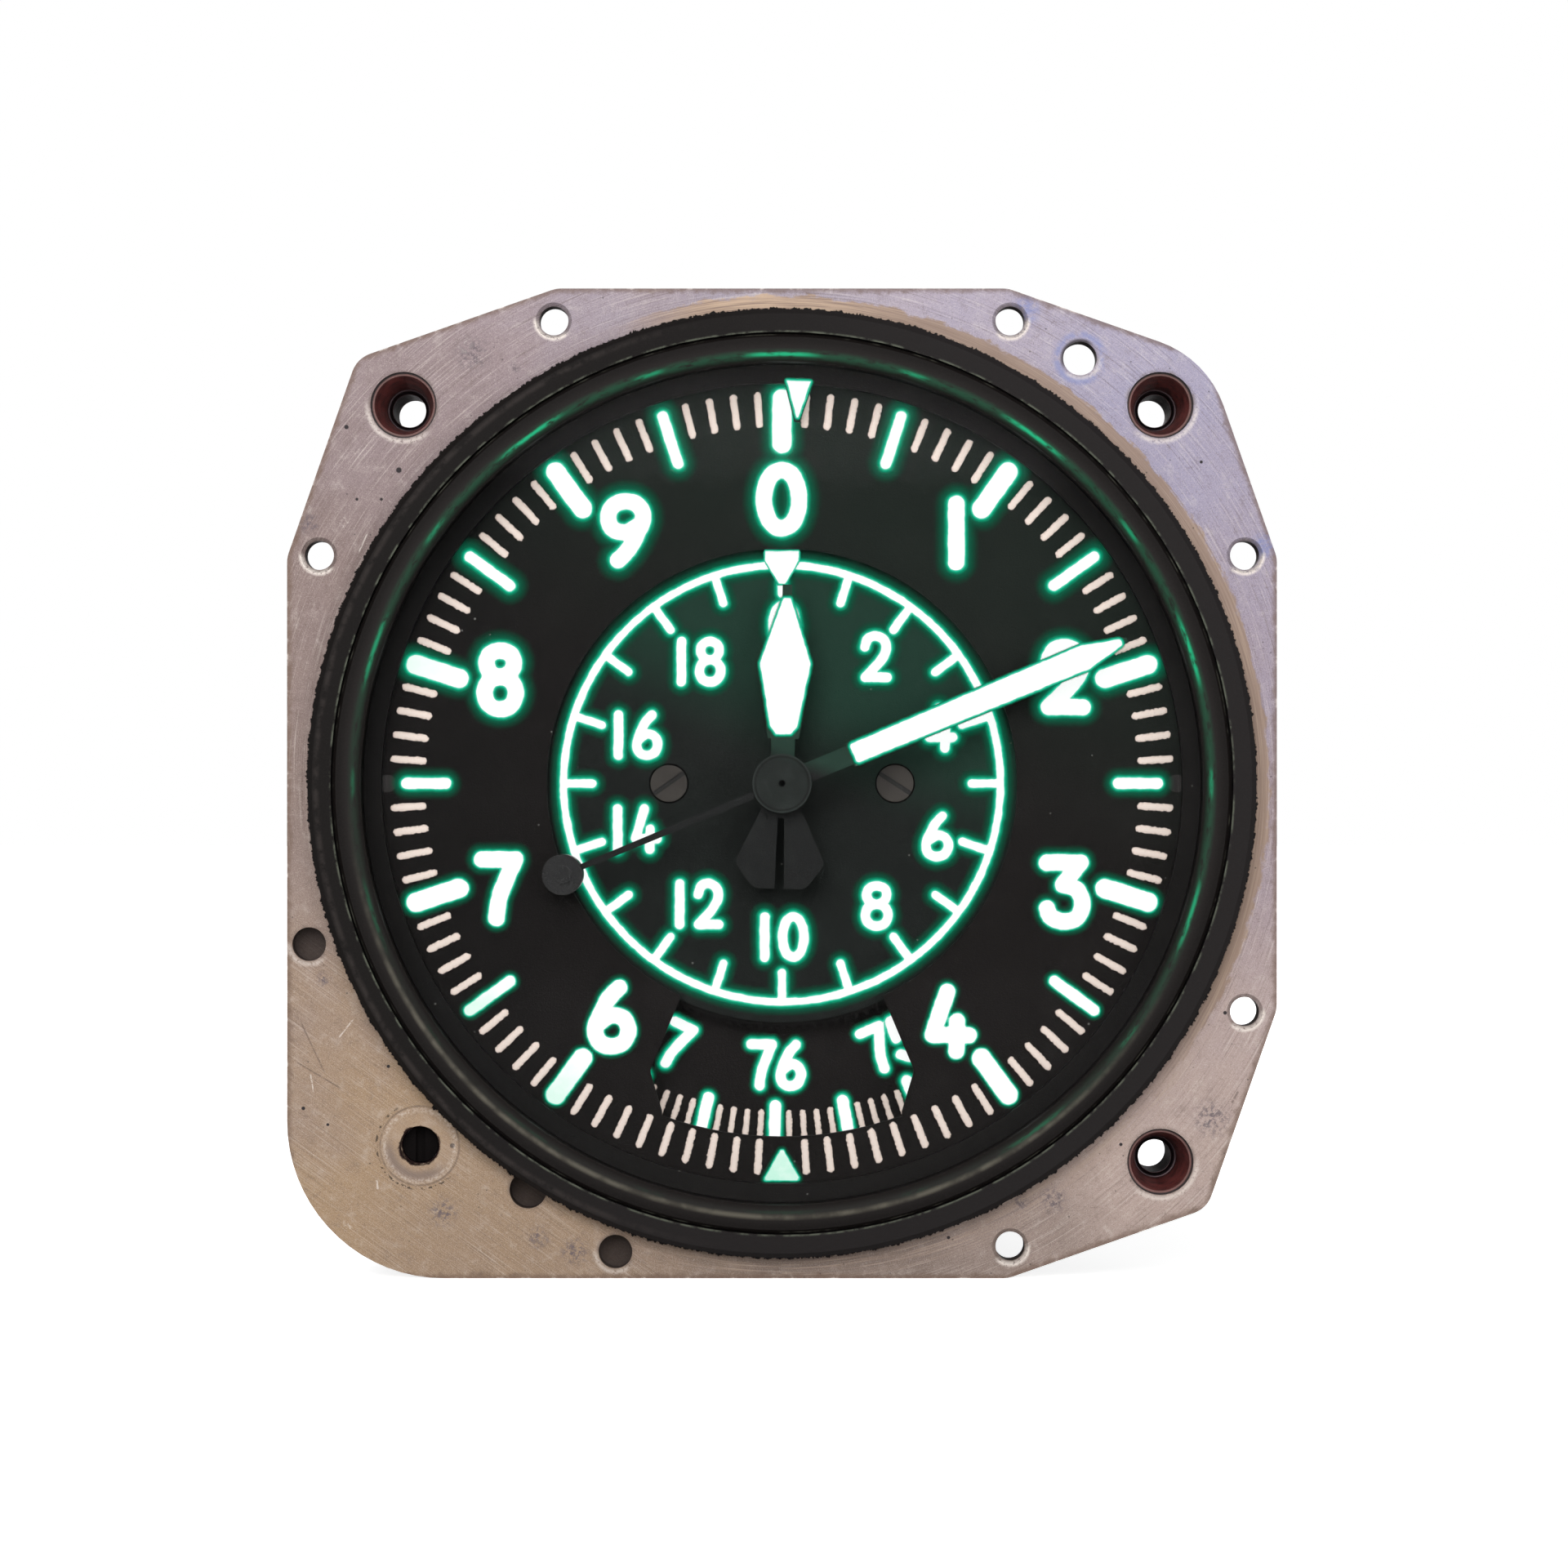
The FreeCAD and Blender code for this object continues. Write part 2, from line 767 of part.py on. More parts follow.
def dial_carrier():
    """Ring that seats in the case behind the dial, with a tongue for the index stud."""
    body = ring(carrier_radius, carrier_bore, dial_back, carrier_back)
    overlap = carrier_bore + side_gap
    tongue = block((-tongue_width / 2, tongue_width / 2), (dial_back, carrier_back), (0.0, overlap))
    tongue = tongue.cut(disc(tongue_end, dial_back - overrun, carrier_back + overrun))
    cuts = [disc(index_stud_radius, 0.0, case_depth, 0.0, index_arbor_place)]
    for x in (-dial_screw_place, dial_screw_place):
        cuts.append(disc(dial_screw_shank, 0.0, case_depth, x))
    for bearing in carrier_screw_bearings:
        place = at(carrier_screw_place, bearing)
        cuts.append(disc(carrier_screw_shank, 0.0, case_depth, place.x, place.z))
    return [fused([body, tongue]).cut(cuts)]


def carrier_screws():
    """Screws that hold the dial carrier in the case, heads to the rear."""
    screws = []
    for bearing in carrier_screw_bearings:
        place = at(carrier_screw_place, bearing)
        head = disc(carrier_screw_head, carrier_back, carrier_back + carrier_screw_head_depth)
        shank = disc(carrier_screw_shank, carrier_back - carrier_screw_length, carrier_back)
        screws.append(moved(fused([head, shank]), place.x, place.z))
    return screws


def sub_dial():
    """Inner dial of the short hand."""
    cuts = [disc(sub_hole, sub_front - overrun, sub_back + overrun)]
    for x in (-sub_screw_place, sub_screw_place):
        cuts.append(disc(sub_screw_shank, sub_front, sub_back + overrun, x))
        cuts.append(disc(sub_screw_recess, sub_front - overrun, sub_front + sub_screw_recess_depth, x))
    return [disc(sub_radius, sub_front, sub_back).cut(cuts)]


def sub_dial_screws():
    """Two slotted screws that hold the inner dial and the centre post to the front plate."""
    front = sub_front - sub_screw_proud
    depth = sub_screw_proud + sub_screw_recess_depth
    length = plate_back - front - depth
    screws = []
    for x, slot in zip((-sub_screw_place, sub_screw_place), sub_screw_slots):
        screw = slotted_screw(sub_screw_head, depth, sub_screw_shank, length, front, slot)
        screws.append(moved(screw, x, 0))
    return screws


def centre_post():
    """Post on the front plate: it carries the inner dial, and the index disc and scale hub turn on it."""
    body = fused([disc(post_radius, sub_back, plate_front), disc(post_spigot, plate_front, plate_back)])
    cuts = [disc(tube_radius + running_gap, 0.0, case_depth)]
    for x in (-sub_screw_place, sub_screw_place):
        cuts.append(disc(sub_screw_shank, 0.0, case_depth, x))
    return [body.cut(cuts)]


def outer_index_ring():
    """Toothed ring in front of the dial's edge, with the outer triangle."""
    rim = ring(dial_radius, ring_bore, index_front, index_teeth_front)
    teeth = gear(ring_teeth, setting_module, spindle_bearing, index_teeth_front, index_back, ring_bore)
    overlap = index_tab_root + side_gap
    tab = plate([(-index_tab_base, overlap), (index_tab_base, overlap),
                 (index_tab_tip_half, index_tab_tip), (-index_tab_tip_half, index_tab_tip)],
                index_front, index_teeth_front)
    return [fused([rim, teeth, turned(tab, index_tab_angle)])]


def setting_spindle():
    """Spindle of the missing knob, down in its hole, with a rear pivot."""
    body = fused([disc(spindle_radius, spindle_recess, setting_back + side_gap),
                  disc(spindle_pivot, setting_back, setting_back + side_gap + spindle_pivot_length)])
    slot = block((-slot_width, slot_width), (0.0, spindle_recess + spindle_slot_depth),
                 (-spindle_radius, spindle_radius))
    return [moved(body.cut(slot), spindle_at.x, spindle_at.z)]


def spindle_gear(teeth, front, back):
    """Pinion on the setting spindle, with a gap between teeth towards the dial axis."""
    inward = spindle_bearing - 180
    body = gear(teeth, setting_module, gap_at(teeth, inward), front, back, spindle_radius)
    return [moved(body, spindle_at.x, spindle_at.z)]


def index_pinion():
    """Pinion that drives the outer index ring."""
    return spindle_gear(index_pinion_teeth, index_teeth_front + side_gap, index_back - side_gap)


def scale_pinion():
    """Pinion that drives the setting wheel."""
    return spindle_gear(scale_pinion_teeth, setting_front, setting_back)


def spindle_packing():
    """Rubber packing around the setting spindle."""
    back = packing_front + packing_thickness
    return [ring(packing_radius, spindle_radius + running_gap, packing_front, back,
                 spindle_at.x, spindle_at.z)]


def gland_nut():
    """Nut that presses the packing."""
    front = packing_front + packing_thickness
    return [ring(gland_radius, spindle_radius + running_gap, front, front + gland_thickness,
                 spindle_at.x, spindle_at.z)]


def setting_wheel():
    """Large wheel that the setting spindle turns, with round windows in its web."""
    body = gear(wheel_teeth, setting_module, spindle_bearing, setting_front, setting_back, hub_pipe)
    for k in range(wheel_window_count):
        place = at(wheel_window_place, k * hand_turn / wheel_window_count)
        body = body.cut(disc(wheel_window_radius, setting_front - overrun, setting_back + overrun,
                             place.x, place.z))
    return [body]


def scale_hub():
    """Hub on the centre post that carries the pressure disc and the setting wheel, and a small gear."""
    teeth = gear(hub_teeth, index_module, 0.0, hub_gear_front, hub_gear_back)
    flange_ring = disc(hub_flange_radius, hub_gear_back, pressure_front)
    pipe = disc(hub_pipe, pressure_front, setting_back)
    return [fused([teeth, flange_ring, pipe]).cut(disc(post_radius + running_gap, 0.0, case_depth))]


def pressure_disc():
    """Disc with the pressure scale."""
    return [ring(pressure_radius, hub_pipe, pressure_front, setting_front)]


def index_stud():
    """Stud on the carrier's tongue, on which the index wheel turns."""
    z = index_arbor_place
    head_front = hub_gear_back - side_gap
    return [fused([disc(index_stud_radius, dial_back, head_front + index_stud_head_depth, 0.0, z),
                   disc(index_stud_shoulder, carrier_back, inner_disc_back - side_gap, 0.0, z),
                   disc(index_stud_head, head_front, head_front + index_stud_head_depth, 0.0, z)])]


def index_wheel():
    """Wheel and pinion that turn the inner index disc from the scale hub."""
    pinion = gear(index_arbor_teeth, index_module, gap_at(index_arbor_teeth, 180.0),
                  inner_disc_back, hub_gear_front)
    wheel = gear(index_wheel_teeth, index_module, gap_at(index_wheel_teeth, 180.0),
                 hub_gear_front, hub_gear_back - 2 * side_gap)
    wheel = spoked(index_wheel_teeth, index_module, wheel)
    body = fused([pinion, wheel]).cut(disc(index_stud_radius + running_gap, 0.0, case_depth))
    return [moved(body, 0.0, index_arbor_place)]


def inner_index_disc():
    """Toothed disc behind the inner dial, with the inner pointer bent round the dial's edge."""
    web = disc(sub_radius + inner_riser, inner_disc_front, inner_disc_back)
    teeth = gear(inner_teeth, index_module, 0.0, inner_disc_back, inner_teeth_back)
    collar = disc(hub_collar, sub_back + side_gap, inner_teeth_back)
    top = index_module * inner_teeth / 2
    half = inner_tab_half
    tab = plate([(-half, top), (half, top), (half, inner_tab_shoulder), (inner_tab_tip_half, inner_tab_tip),
                 (-inner_tab_tip_half, inner_tab_tip), (-half, inner_tab_shoulder)],
                inner_tab_front, inner_tab_back)
    riser = block((-half, half), (inner_tab_front, inner_disc_back), (top - inner_riser, top))
    riser = riser.cut(disc(sub_radius + side_gap, inner_tab_back, inner_disc_front))
    body = fused([web, teeth, collar, tab, riser])
    return [body.cut(disc(post_radius + running_gap, 0.0, case_depth))]


def front_plate():
    """Front plate of the movement, seated on the step in the barrel."""
    body = ring(barrel_bore - side_gap, post_spigot, plate_front, plate_back)
    cuts = [disc(pivot_bush_radius, 0.0, case_depth, train_at.x, train_at.z),
            disc(pivot_bush_radius, 0.0, case_depth, rocking_x, rocking_z)]
    for x in (-sub_screw_place, sub_screw_place):
        cuts.append(disc(sub_screw_shank, 0.0, case_depth, x))
    for bearing in (90.0, 270.0):
        place = at(plate_window_place, bearing)
        cuts.append(disc(plate_window, 0.0, case_depth, place.x, place.z))
    return [body.cut(cuts + radial_holes(movement_screw_bearings, movement_screw_y))]


def plate_screw_places():
    """Places of the rear plate's screws, each with the level that its head sits on."""
    places = [(at(pillar_place, b).x, at(pillar_place, b).z, rear_plate_back) for b in pillar_bearings]
    level = rear_plate_back + bracket_thickness
    low = bracket_top + bracket_rise / 2
    places += [(x, low, level) for x in (-bracket_screw_spread, bracket_screw_spread)]
    high = bridge_top - bridge_plate - screw_head_radius
    places += [(rocking_x + x, high, rear_plate_back + bridge_plate)
               for x in (-bridge_screw_spread, bridge_screw_spread)]
    return places


def rear_plate():
    """Rear plate of the movement."""
    cuts = [disc(pivot_bush_radius, 0.0, case_depth),
            disc(pivot_bush_radius, 0.0, case_depth, train_at.x, train_at.z),
            disc(shaft_bush_radius, 0.0, case_depth, rocking_x, rocking_z),
            disc(spring_stud_radius, 0.0, case_depth, 0.0, spring_end())]
    for x, z, _ in plate_screw_places():
        cuts.append(disc(screw_shank_radius, 0.0, case_depth, x, z))
    for bearing in (90.0, 270.0):
        place = at(plate_window_place, bearing)
        cuts.append(disc(plate_window, 0.0, case_depth, place.x, place.z))
    return [disc(rear_plate_radius, rear_plate_front, rear_plate_back).cut(cuts)]


def plate_pillars():
    """Four pillars between the plates, drilled for their screws."""
    pillars = []
    depth = screw_shank_length - plate_thickness
    for bearing in pillar_bearings:
        place = at(pillar_place, bearing)
        body = disc(pillar_radius, plate_back, rear_plate_front, place.x, place.z)
        hole = disc(screw_shank_radius, rear_plate_front - depth, rear_plate_front + overrun,
                    place.x, place.z)
        pillars.append(body.cut(hole))
    return pillars


def plate_screws():
    """Identical screws behind the rear plate: pillars, capsule bracket and bridge."""
    screws = []
    for x, z, level in plate_screw_places():
        head = disc(screw_head_radius, level, level + screw_head_height)
        head = head.cut(block((-slot_width / 2, slot_width / 2),
                              (level + screw_head_height - slot_depth, level + screw_head_height + overrun),
                              (-screw_head_radius, screw_head_radius)))
        end = max(level - screw_shank_length, rear_plate_back - screw_shank_length)
        screws.append(moved(fused([head, disc(screw_shank_radius, end, level)]), x, z))
    return screws


def movement_screws():
    """Screws through the barrel's wall into the front plate."""
    return [radial_screw(bearing, movement_screw_y) for bearing in movement_screw_bearings]


def pivot_bushes():
    """Bearing bushes in the two plates."""
    front = [(train_at.x, train_at.z, pivot_radius), (rocking_x, rocking_z, rocking_pivot)]
    bushes = [ring(pivot_bush_radius, r + running_gap, plate_front, plate_back, x, z) for x, z, r in front]
    rear = [(0.0, 0.0, pivot_radius), (train_at.x, train_at.z, pivot_radius)]
    bushes += [ring(pivot_bush_radius, r + running_gap, rear_plate_front, rear_plate_back, x, z)
               for x, z, r in rear]
    bushes.append(ring(shaft_bush_radius, rocking_radius + running_gap, rear_plate_front,
                       rear_plate_back, rocking_x, rocking_z))
    return bushes


def short_hand_tube():
    """Hollow arbor of the short hand, with the pinion that the sector turns."""
    outward = math.degrees(math.atan2(rocking_x, rocking_z))
    pinion = gear(tube_pinion_teeth, sector_module, gap_at(tube_pinion_teeth, outward),
                  tube_pinion_front, tube_pinion_front + tube_pinion_length)
    body = fused([disc(tube_radius, short_front - side_gap, tube_rear), pinion])
    return [body.cut(disc(arbor_radius + running_gap, 0.0, case_depth))]


def hubbed_wheel(teeth, tooth_bearing, front, bore):
    """Spoked wheel of the hand train with a hub on both sides."""
    back = front + wheel_thickness
    rim = spoked(teeth, train_module, gear(teeth, train_module, tooth_bearing, front, back))
    side = (wheel_hub_length - wheel_thickness) / 2
    return fused([rim, disc(wheel_hub_radius, front - side, back + side)]).cut(disc(bore, 0.0, case_depth))


def tube_wheel():
    """Wheel on the short hand's tube."""
    return [hubbed_wheel(tube_wheel_teeth, train_bearing, tube_wheel_front, tube_radius)]


def train_arbor():
    """Arbor of the multiplying wheel, with its pinion."""
    inward = train_bearing - 180
    pinion = gear(train_pinion_teeth, train_module, gap_at(train_pinion_teeth, inward),
                  tube_wheel_front - pinion_extra, tube_wheel_front + wheel_thickness + pinion_extra)
    shaft = [disc(train_arbor_radius, plate_back + side_gap, rear_plate_front - side_gap),
             disc(pivot_radius, plate_back - pivot_length, rear_plate_front + pivot_length), pinion]
    return [moved(fused(shaft), train_at.x, train_at.z)]


def train_wheel():
    """Multiplying wheel behind the hairspring."""
    inward = train_bearing - 180
    wheel = hubbed_wheel(train_wheel_teeth, gap_at(train_wheel_teeth, inward), train_wheel_front,
                         train_arbor_radius)
    return [moved(wheel, train_at.x, train_at.z)]


def centre_arbor():
    """Arbor of the long hand, with its pinion and rear pivot."""
    pinion = gear(arbor_pinion_teeth, train_module, train_bearing, train_wheel_front - pinion_extra,
                  train_wheel_front + wheel_thickness + pinion_extra)
    front = cap_front + cap_thickness / 2
    return [fused([disc(arbor_radius, front, rear_plate_front - side_gap), pinion,
                   disc(pivot_radius, rear_plate_front - side_gap, rear_plate_front + pivot_length)])]


def hairspring_collet():
    """Collet that holds the hairspring on the short hand's tube."""
    return [ring(collet_radius, tube_radius, collet_front, collet_front + collet_length)]


def spring_end():
    """Distance of the hairspring's outer end above the axis."""
    return collet_radius + spring_half_turns * spring_pitch / 2 + spring_wire / 2


def hairspring():
    """Flat spiral of half turns, from the collet to its stud."""
    inner, outer = [], []
    for k in range(spring_half_turns):
        up = 1 if k % 2 == 0 else -1
        radius = collet_radius + (k + 0.5) * spring_pitch / 2
        centre = V(0, spring_front, up * spring_pitch / 4)
        for edges, r in ((inner, radius), (outer, radius + spring_wire)):
            start, end = centre + V(0, 0, -up * r), centre + V(0, 0, up * r)
            edges.append(Part.Arc(start, centre + V(r * up, 0, 0), end).toShape())
    ends = [(inner[0].Vertexes[0].Point, outer[0].Vertexes[0].Point),
            (inner[-1].Vertexes[-1].Point, outer[-1].Vertexes[-1].Point)]
    caps = [Part.LineSegment(a, b).toShape() for a, b in ends]
    wire = Part.Wire(Part.__sortEdges__(inner + outer + caps))
    return [Part.Face(wire).extrude(V(0, spring_height, 0))]


def hairspring_stud():
    """Stud from the rear plate that holds the hairspring's outer end."""
    body = disc(spring_stud_radius, collet_front, rear_plate_back, 0.0, spring_end())
    return [body.cut(hairspring()[0])]


def sector_gear():
    """Toothed sector on the rocking shaft, which turns the short hand's tube."""
    inward = math.degrees(math.atan2(-rocking_x, -rocking_z))
    step = hand_turn / sector_teeth
    points = [(0.0, 0.0)]
    for k in range(-sector_teeth_before, sector_teeth_after + 1):
        points += tooth_points(sector_teeth, sector_module, inward + k * step)
    fan = plate(points, sector_front, sector_front + sector_thickness)
    middle = inward + (sector_teeth_after - sector_teeth_before) * step / 2
    place = at(sector_window_share * sector_module * sector_teeth / 2, middle)
    fan = fan.cut(disc(sector_window_radius, 0.0, case_depth, place.x, place.z))
    side = (sector_hub_length - sector_thickness) / 2
    hub = disc(sector_hub_radius, sector_front - side, sector_front + sector_thickness + side)
    return [moved(fused([fan, hub]).cut(disc(rocking_radius, 0.0, case_depth)), rocking_x, rocking_z)]


def rocking_shaft():
    """Long shaft from the front plate to the bridge behind the capsules."""
    rear = bridge_rear - bridge_plate - side_gap
    body = fused([disc(rocking_radius, plate_back + side_gap, rear),
                  disc(rocking_pivot, plate_back - pivot_length, bridge_rear)])
    return [moved(body, rocking_x, rocking_z)]


def crank_arm(length, width, front, back, hub, bearing):
    """Flat arm from a hub to a place at a length and bearing, about its own axis."""
    arm = block((-width / 2, width / 2), (front, back), (0.0, length))
    return fused([turned(arm, bearing), disc(hub, front, back)])


def bimetal_arm():
    """Bimetal crank on the rocking shaft, with the pin that the link hangs on."""
    back = crank_front + crank_thickness
    bearing = 90.0 + crank_rest
    place = at(crank_length, bearing)
    pin_front = capsule_centre - link_thickness / 2 - side_gap - crank_pin_head_depth
    solids = [crank_arm(crank_length, crank_width, crank_front, back, crank_hub_radius, bearing),
              disc(crank_width / 2, crank_front, back, place.x, place.z),
              disc(crank_pin, pin_front, crank_front + side_gap, place.x, place.z),
              disc(crank_pin_head, pin_front, pin_front + crank_pin_head_depth, place.x, place.z)]
    return [moved(fused(solids).cut(disc(rocking_radius, 0.0, case_depth)), rocking_x, rocking_z)]


def balance_weight():
    """Arm and weight that balance the sector and crank."""
    back = balance_front + balance_thickness
    middle = (balance_front + back) / 2
    weight = disc(balance_radius, middle - balance_length / 2, middle + balance_length / 2,
                  -balance_arm, 0.0)
    arm = crank_arm(balance_arm, balance_width, balance_front, back, crank_hub_radius, 270.0)
    body = fused([arm, weight]).cut(disc(rocking_radius, 0.0, case_depth))
    return [moved(body, rocking_x, rocking_z)]


def rocking_bridge():
    """Bridge over the capsules that carries the rocking shaft's rear end."""
    half, foot = bridge_width / 2, bridge_foot_width / 2
    low = bridge_top - bridge_plate - 2 * screw_head_radius - side_gap
    x = (rocking_x - half, rocking_x + half)
    tab = block(x, (rear_plate_back, rear_plate_back + bridge_plate), (low, bridge_top))
    top = block((rocking_x - foot, rocking_x + foot), (rear_plate_back, bridge_rear),
                (bridge_top - bridge_plate, bridge_top))
    leg = block((rocking_x - foot, rocking_x + foot), (bridge_rear - bridge_plate, bridge_rear),
                (rocking_z - bridge_foot_drop, bridge_top))
    cuts = [disc(rocking_pivot + running_gap, 0.0, case_depth, rocking_x, rocking_z)]
    cuts += [disc(screw_shank_radius, 0.0, case_depth, sx, sz) for sx, sz, _ in plate_screw_places()]
    return [fused([tab, top, leg]).cut(cuts)]


def capsule_bracket():
    """Angle bracket on the rear plate that the capsules stand on."""
    half = bracket_width / 2
    base = block((-half, half), (rear_plate_back, bracket_rear),
                 (bracket_top - bracket_thickness, bracket_top))
    wall = block((-half, half), (rear_plate_back, rear_plate_back + bracket_thickness),
                 (bracket_top - bracket_thickness, bracket_top + bracket_rise))
    cuts = [disc(screw_shank_radius, 0.0, case_depth, x, z) for x, z, _ in plate_screw_places()]
    cuts.append(upright(foot_radius, -case_radius, 0.0, 0.0, capsule_centre))
    return [fused([base, wall]).cut(cuts)]


def capsule_foot():
    """Threaded foot of the capsules, with its flange and its nut under the bracket."""
    top = capsule_top - 2 * capsule_height
    under = bracket_top - bracket_thickness
    return [fused([upright(foot_radius, top - foot_length, top, 0.0, capsule_centre),
                   upright(foot_flange_radius, bracket_top, bracket_top + foot_flange_thickness,
                           0.0, capsule_centre),
                   upright(foot_nut_radius, under - foot_nut_thickness, under, 0.0, capsule_centre)])]


def capsule_half_height(radius):
    """Half height of the corrugated capsule at a radius outside its boss."""
    reach = capsule_radius - capsule_flange
    across = (radius - capsule_boss - capsule_rim) / (reach - capsule_boss - capsule_rim)
    dome = (capsule_dome - capsule_rim) / 2 * (1 - across)
    return capsule_rim / 2 + dome + capsule_wave * math.sin(2 * math.pi * wave_count * across)


def capsule_shell(radii, heights, middle):
    """Solid between a profile and its mirror image, turned about the capsules' axis."""
    points = [V(r, capsule_centre, middle + h) for r, h in zip(radii, heights)]
    points += [V(r, capsule_centre, middle - h) for r, h in reversed(list(zip(radii, heights)))]
    wire = Part.makePolygon(points + points[:1])
    return Part.Face(wire).revolve(V(0, capsule_centre, 0), V(0, 0, 1), hand_turn)


def capsule(top):
    """One evacuated capsule, hollow inside, whose boss ends at a level."""
    middle = top - capsule_height / 2
    reach = capsule_radius - capsule_flange
    first = capsule_boss + capsule_rim
    steps = wave_count * points_per_wave
    waves = [first + (reach - first) * k / steps for k in range(steps + 1)]
    radii = [0.0, capsule_boss] + waves + [capsule_radius]
    heights = [capsule_height / 2] * 2 + [capsule_half_height(r) for r in waves] + [capsule_rim / 2]
    inside = [r for r in waves if capsule_half_height(r) > 2 * capsule_wall]
    hollow_radii = [0.0] + inside
    first_height = capsule_half_height(first) - capsule_wall
    hollow_heights = [first_height] + [capsule_half_height(r) - capsule_wall for r in inside]
    return capsule_shell(radii, heights, middle).cut(capsule_shell(hollow_radii, hollow_heights, middle))


def lower_capsule():
    """Capsule that stands on the foot."""
    return [capsule(capsule_top - capsule_height)]


def upper_capsule():
    """Capsule that carries the stem."""
    return [capsule(capsule_top)]


def capsule_stem():
    """Stem on the upper capsule, with a fork and a pin for the link."""
    base_top = capsule_top + stem_base_thickness
    slot_low = stem_pin_z - link_eye - fork_cheek
    low, high = slot_low - fork_cheek, stem_pin_z + fork_over
    y = (capsule_centre - fork_depth, capsule_centre + fork_depth)
    fork = block((-fork_half, fork_half), y, (low, high))
    slot = block((-fork_half - overrun, fork_half + overrun),
                 (capsule_centre - fork_slot / 2, capsule_centre + fork_slot / 2),
                 (slot_low, high + overrun))
    pin = disc(crank_pin, y[0], y[1], 0.0, stem_pin_z)
    return [fused([upright(stem_base_radius, capsule_top, base_top, 0.0, capsule_centre),
                   upright(stem_radius, base_top, low, 0.0, capsule_centre), fork.cut(slot), pin])]


def link_rod():
    """Link from the stem's pin up to the crank pin."""
    y = (capsule_centre - link_thickness / 2, capsule_centre + link_thickness / 2)
    half = link_width / 2
    bar = block((crank_pin_x - half, crank_pin_x + half), y, (stem_pin_z, crank_pin_z))
    eyes = [disc(link_eye, y[0], y[1], crank_pin_x, z) for z in (stem_pin_z, crank_pin_z)]
    holes = [disc(crank_pin + running_gap, 0.0, case_depth, crank_pin_x, crank_pin_z),
             disc(crank_pin + link_open_gap, 0.0, case_depth, crank_pin_x, stem_pin_z)]
    return [fused([bar] + eyes).cut(holes)]


def long_hand():
    """Long hand: stem, bar and tip on one side, a thin tail on the other."""
    blade = plate([(-stem_half, 0.0), (-stem_half, bar_start), (-bar_half_start, bar_start),
                   (-bar_half_end, bar_end), (-long_tip_half, long_tip), (long_tip_half, long_tip),
                   (bar_half_end, bar_end), (bar_half_start, bar_start), (stem_half, bar_start),
                   (stem_half, 0.0)], long_front, long_back)
    tail = plate([(-tail_half_start, 0.0), (-tail_half_end, -tail_length), (tail_half_end, -tail_length),
                  (tail_half_start, 0.0)], long_front, long_back)
    body = fused([blade, tail, disc(cap_radius, long_front, long_back)])
    return [turned(body.cut(disc(arbor_radius, 0.0, case_depth)), long_bearing)]


def hand_hub():
    """Cap and boss that fix the long hand to its arbor."""
    boss = ring(hub_boss_radius, arbor_radius, long_back, long_back + hub_boss_length)
    cap = disc(cap_radius, cap_front, long_front).cut(disc(cap_hole, 0.0, cap_front + cap_thickness / 2))
    cap = cap.cut(disc(arbor_radius, cap_front + cap_thickness / 2, long_front + overrun))
    return [cap, boss]


def hand_counterweight():
    """Round weight on the long hand's tail, with its rivet."""
    weight = disc(counter_radius, long_front - counter_thickness, long_front)
    weight_front = long_front - counter_thickness
    rivet = disc(counter_rivet, weight_front - rivet_height, weight_front)
    back = disc(counter_radius, long_back, long_back + counter_back_thickness)
    tail = [moved(shape, 0.0, -tail_length) for shape in (fused([weight, rivet]), back)]
    return [turned(shape, long_bearing) for shape in tail]


def short_hand():
    """Short hand: a spade to the tip, and a forked fan as its tail."""
    blade = plate([(-short_stem_half, 0.0), (-short_stem_half, short_bottom),
                   (-short_bottom_half, short_bottom), (-short_wide_half, short_wide),
                   (-short_neck_half, short_neck), (-short_neck_half, short_tip),
                   (short_neck_half, short_tip), (short_neck_half, short_neck),
                   (short_wide_half, short_wide), (short_bottom_half, short_bottom),
                   (short_stem_half, short_bottom), (short_stem_half, 0.0)], short_front, short_back)
    half = short_tail_start_half
    fan = rounded_plate([(-half, 0.0, 0.0), (half, 0.0, 0.0), (half, -short_tail_start, 0.0),
                         (short_tail_wide_half, -short_tail_wide, short_stem_half),
                         (short_tail_end_half, -short_tail_end, short_stem_half),
                         (-short_tail_end_half, -short_tail_end, short_stem_half),
                         (-short_tail_wide_half, -short_tail_wide, short_stem_half),
                         (-half, -short_tail_start, 0.0)], short_front, short_back)
    low = -short_tail_end - overrun
    slit = plate([(-short_slit_half_start, -short_slit_start), (short_slit_half_start, -short_slit_start),
                  (short_slit_half_end, low), (-short_slit_half_end, low)],
                 short_front - overrun, short_back + overrun)
    hub = disc(short_hub_radius, short_front, short_front + hand_thickness + short_hub_length)
    body = fused([blade, fan.cut(slit), hub]).cut(disc(tube_radius, 0.0, case_depth))
    return [turned(body, short_bearing)]


def rear_cover():
    """Cover with a rim inside the barrel and a boss for the static port."""
    rim = ring(barrel_bore - cover_rim_gap, barrel_bore - cover_rim_gap - cover_rim_wall,
               cover_front - cover_rim_depth, cover_front)
    boss = disc(port_boss_radius, cover_front - port_boss_depth, cover_front, 0.0, port_height)
    body = fused([disc(case_radius, cover_front, cover_back), rim, boss])
    port = disc(port_shank_radius, 0.0, cover_back + overrun, 0.0, port_height)
    return [body.cut([port] + radial_holes(cover_screw_bearings, cover_screw_y))]


def cover_gasket():
    """Flat gasket between the barrel and the rear cover."""
    return [ring(case_radius, barrel_bore, case_depth, cover_front)]


def cover_screws():
    """Flush screws through the barrel into the cover's rim."""
    return [radial_screw(bearing, cover_screw_y) for bearing in cover_screw_bearings]


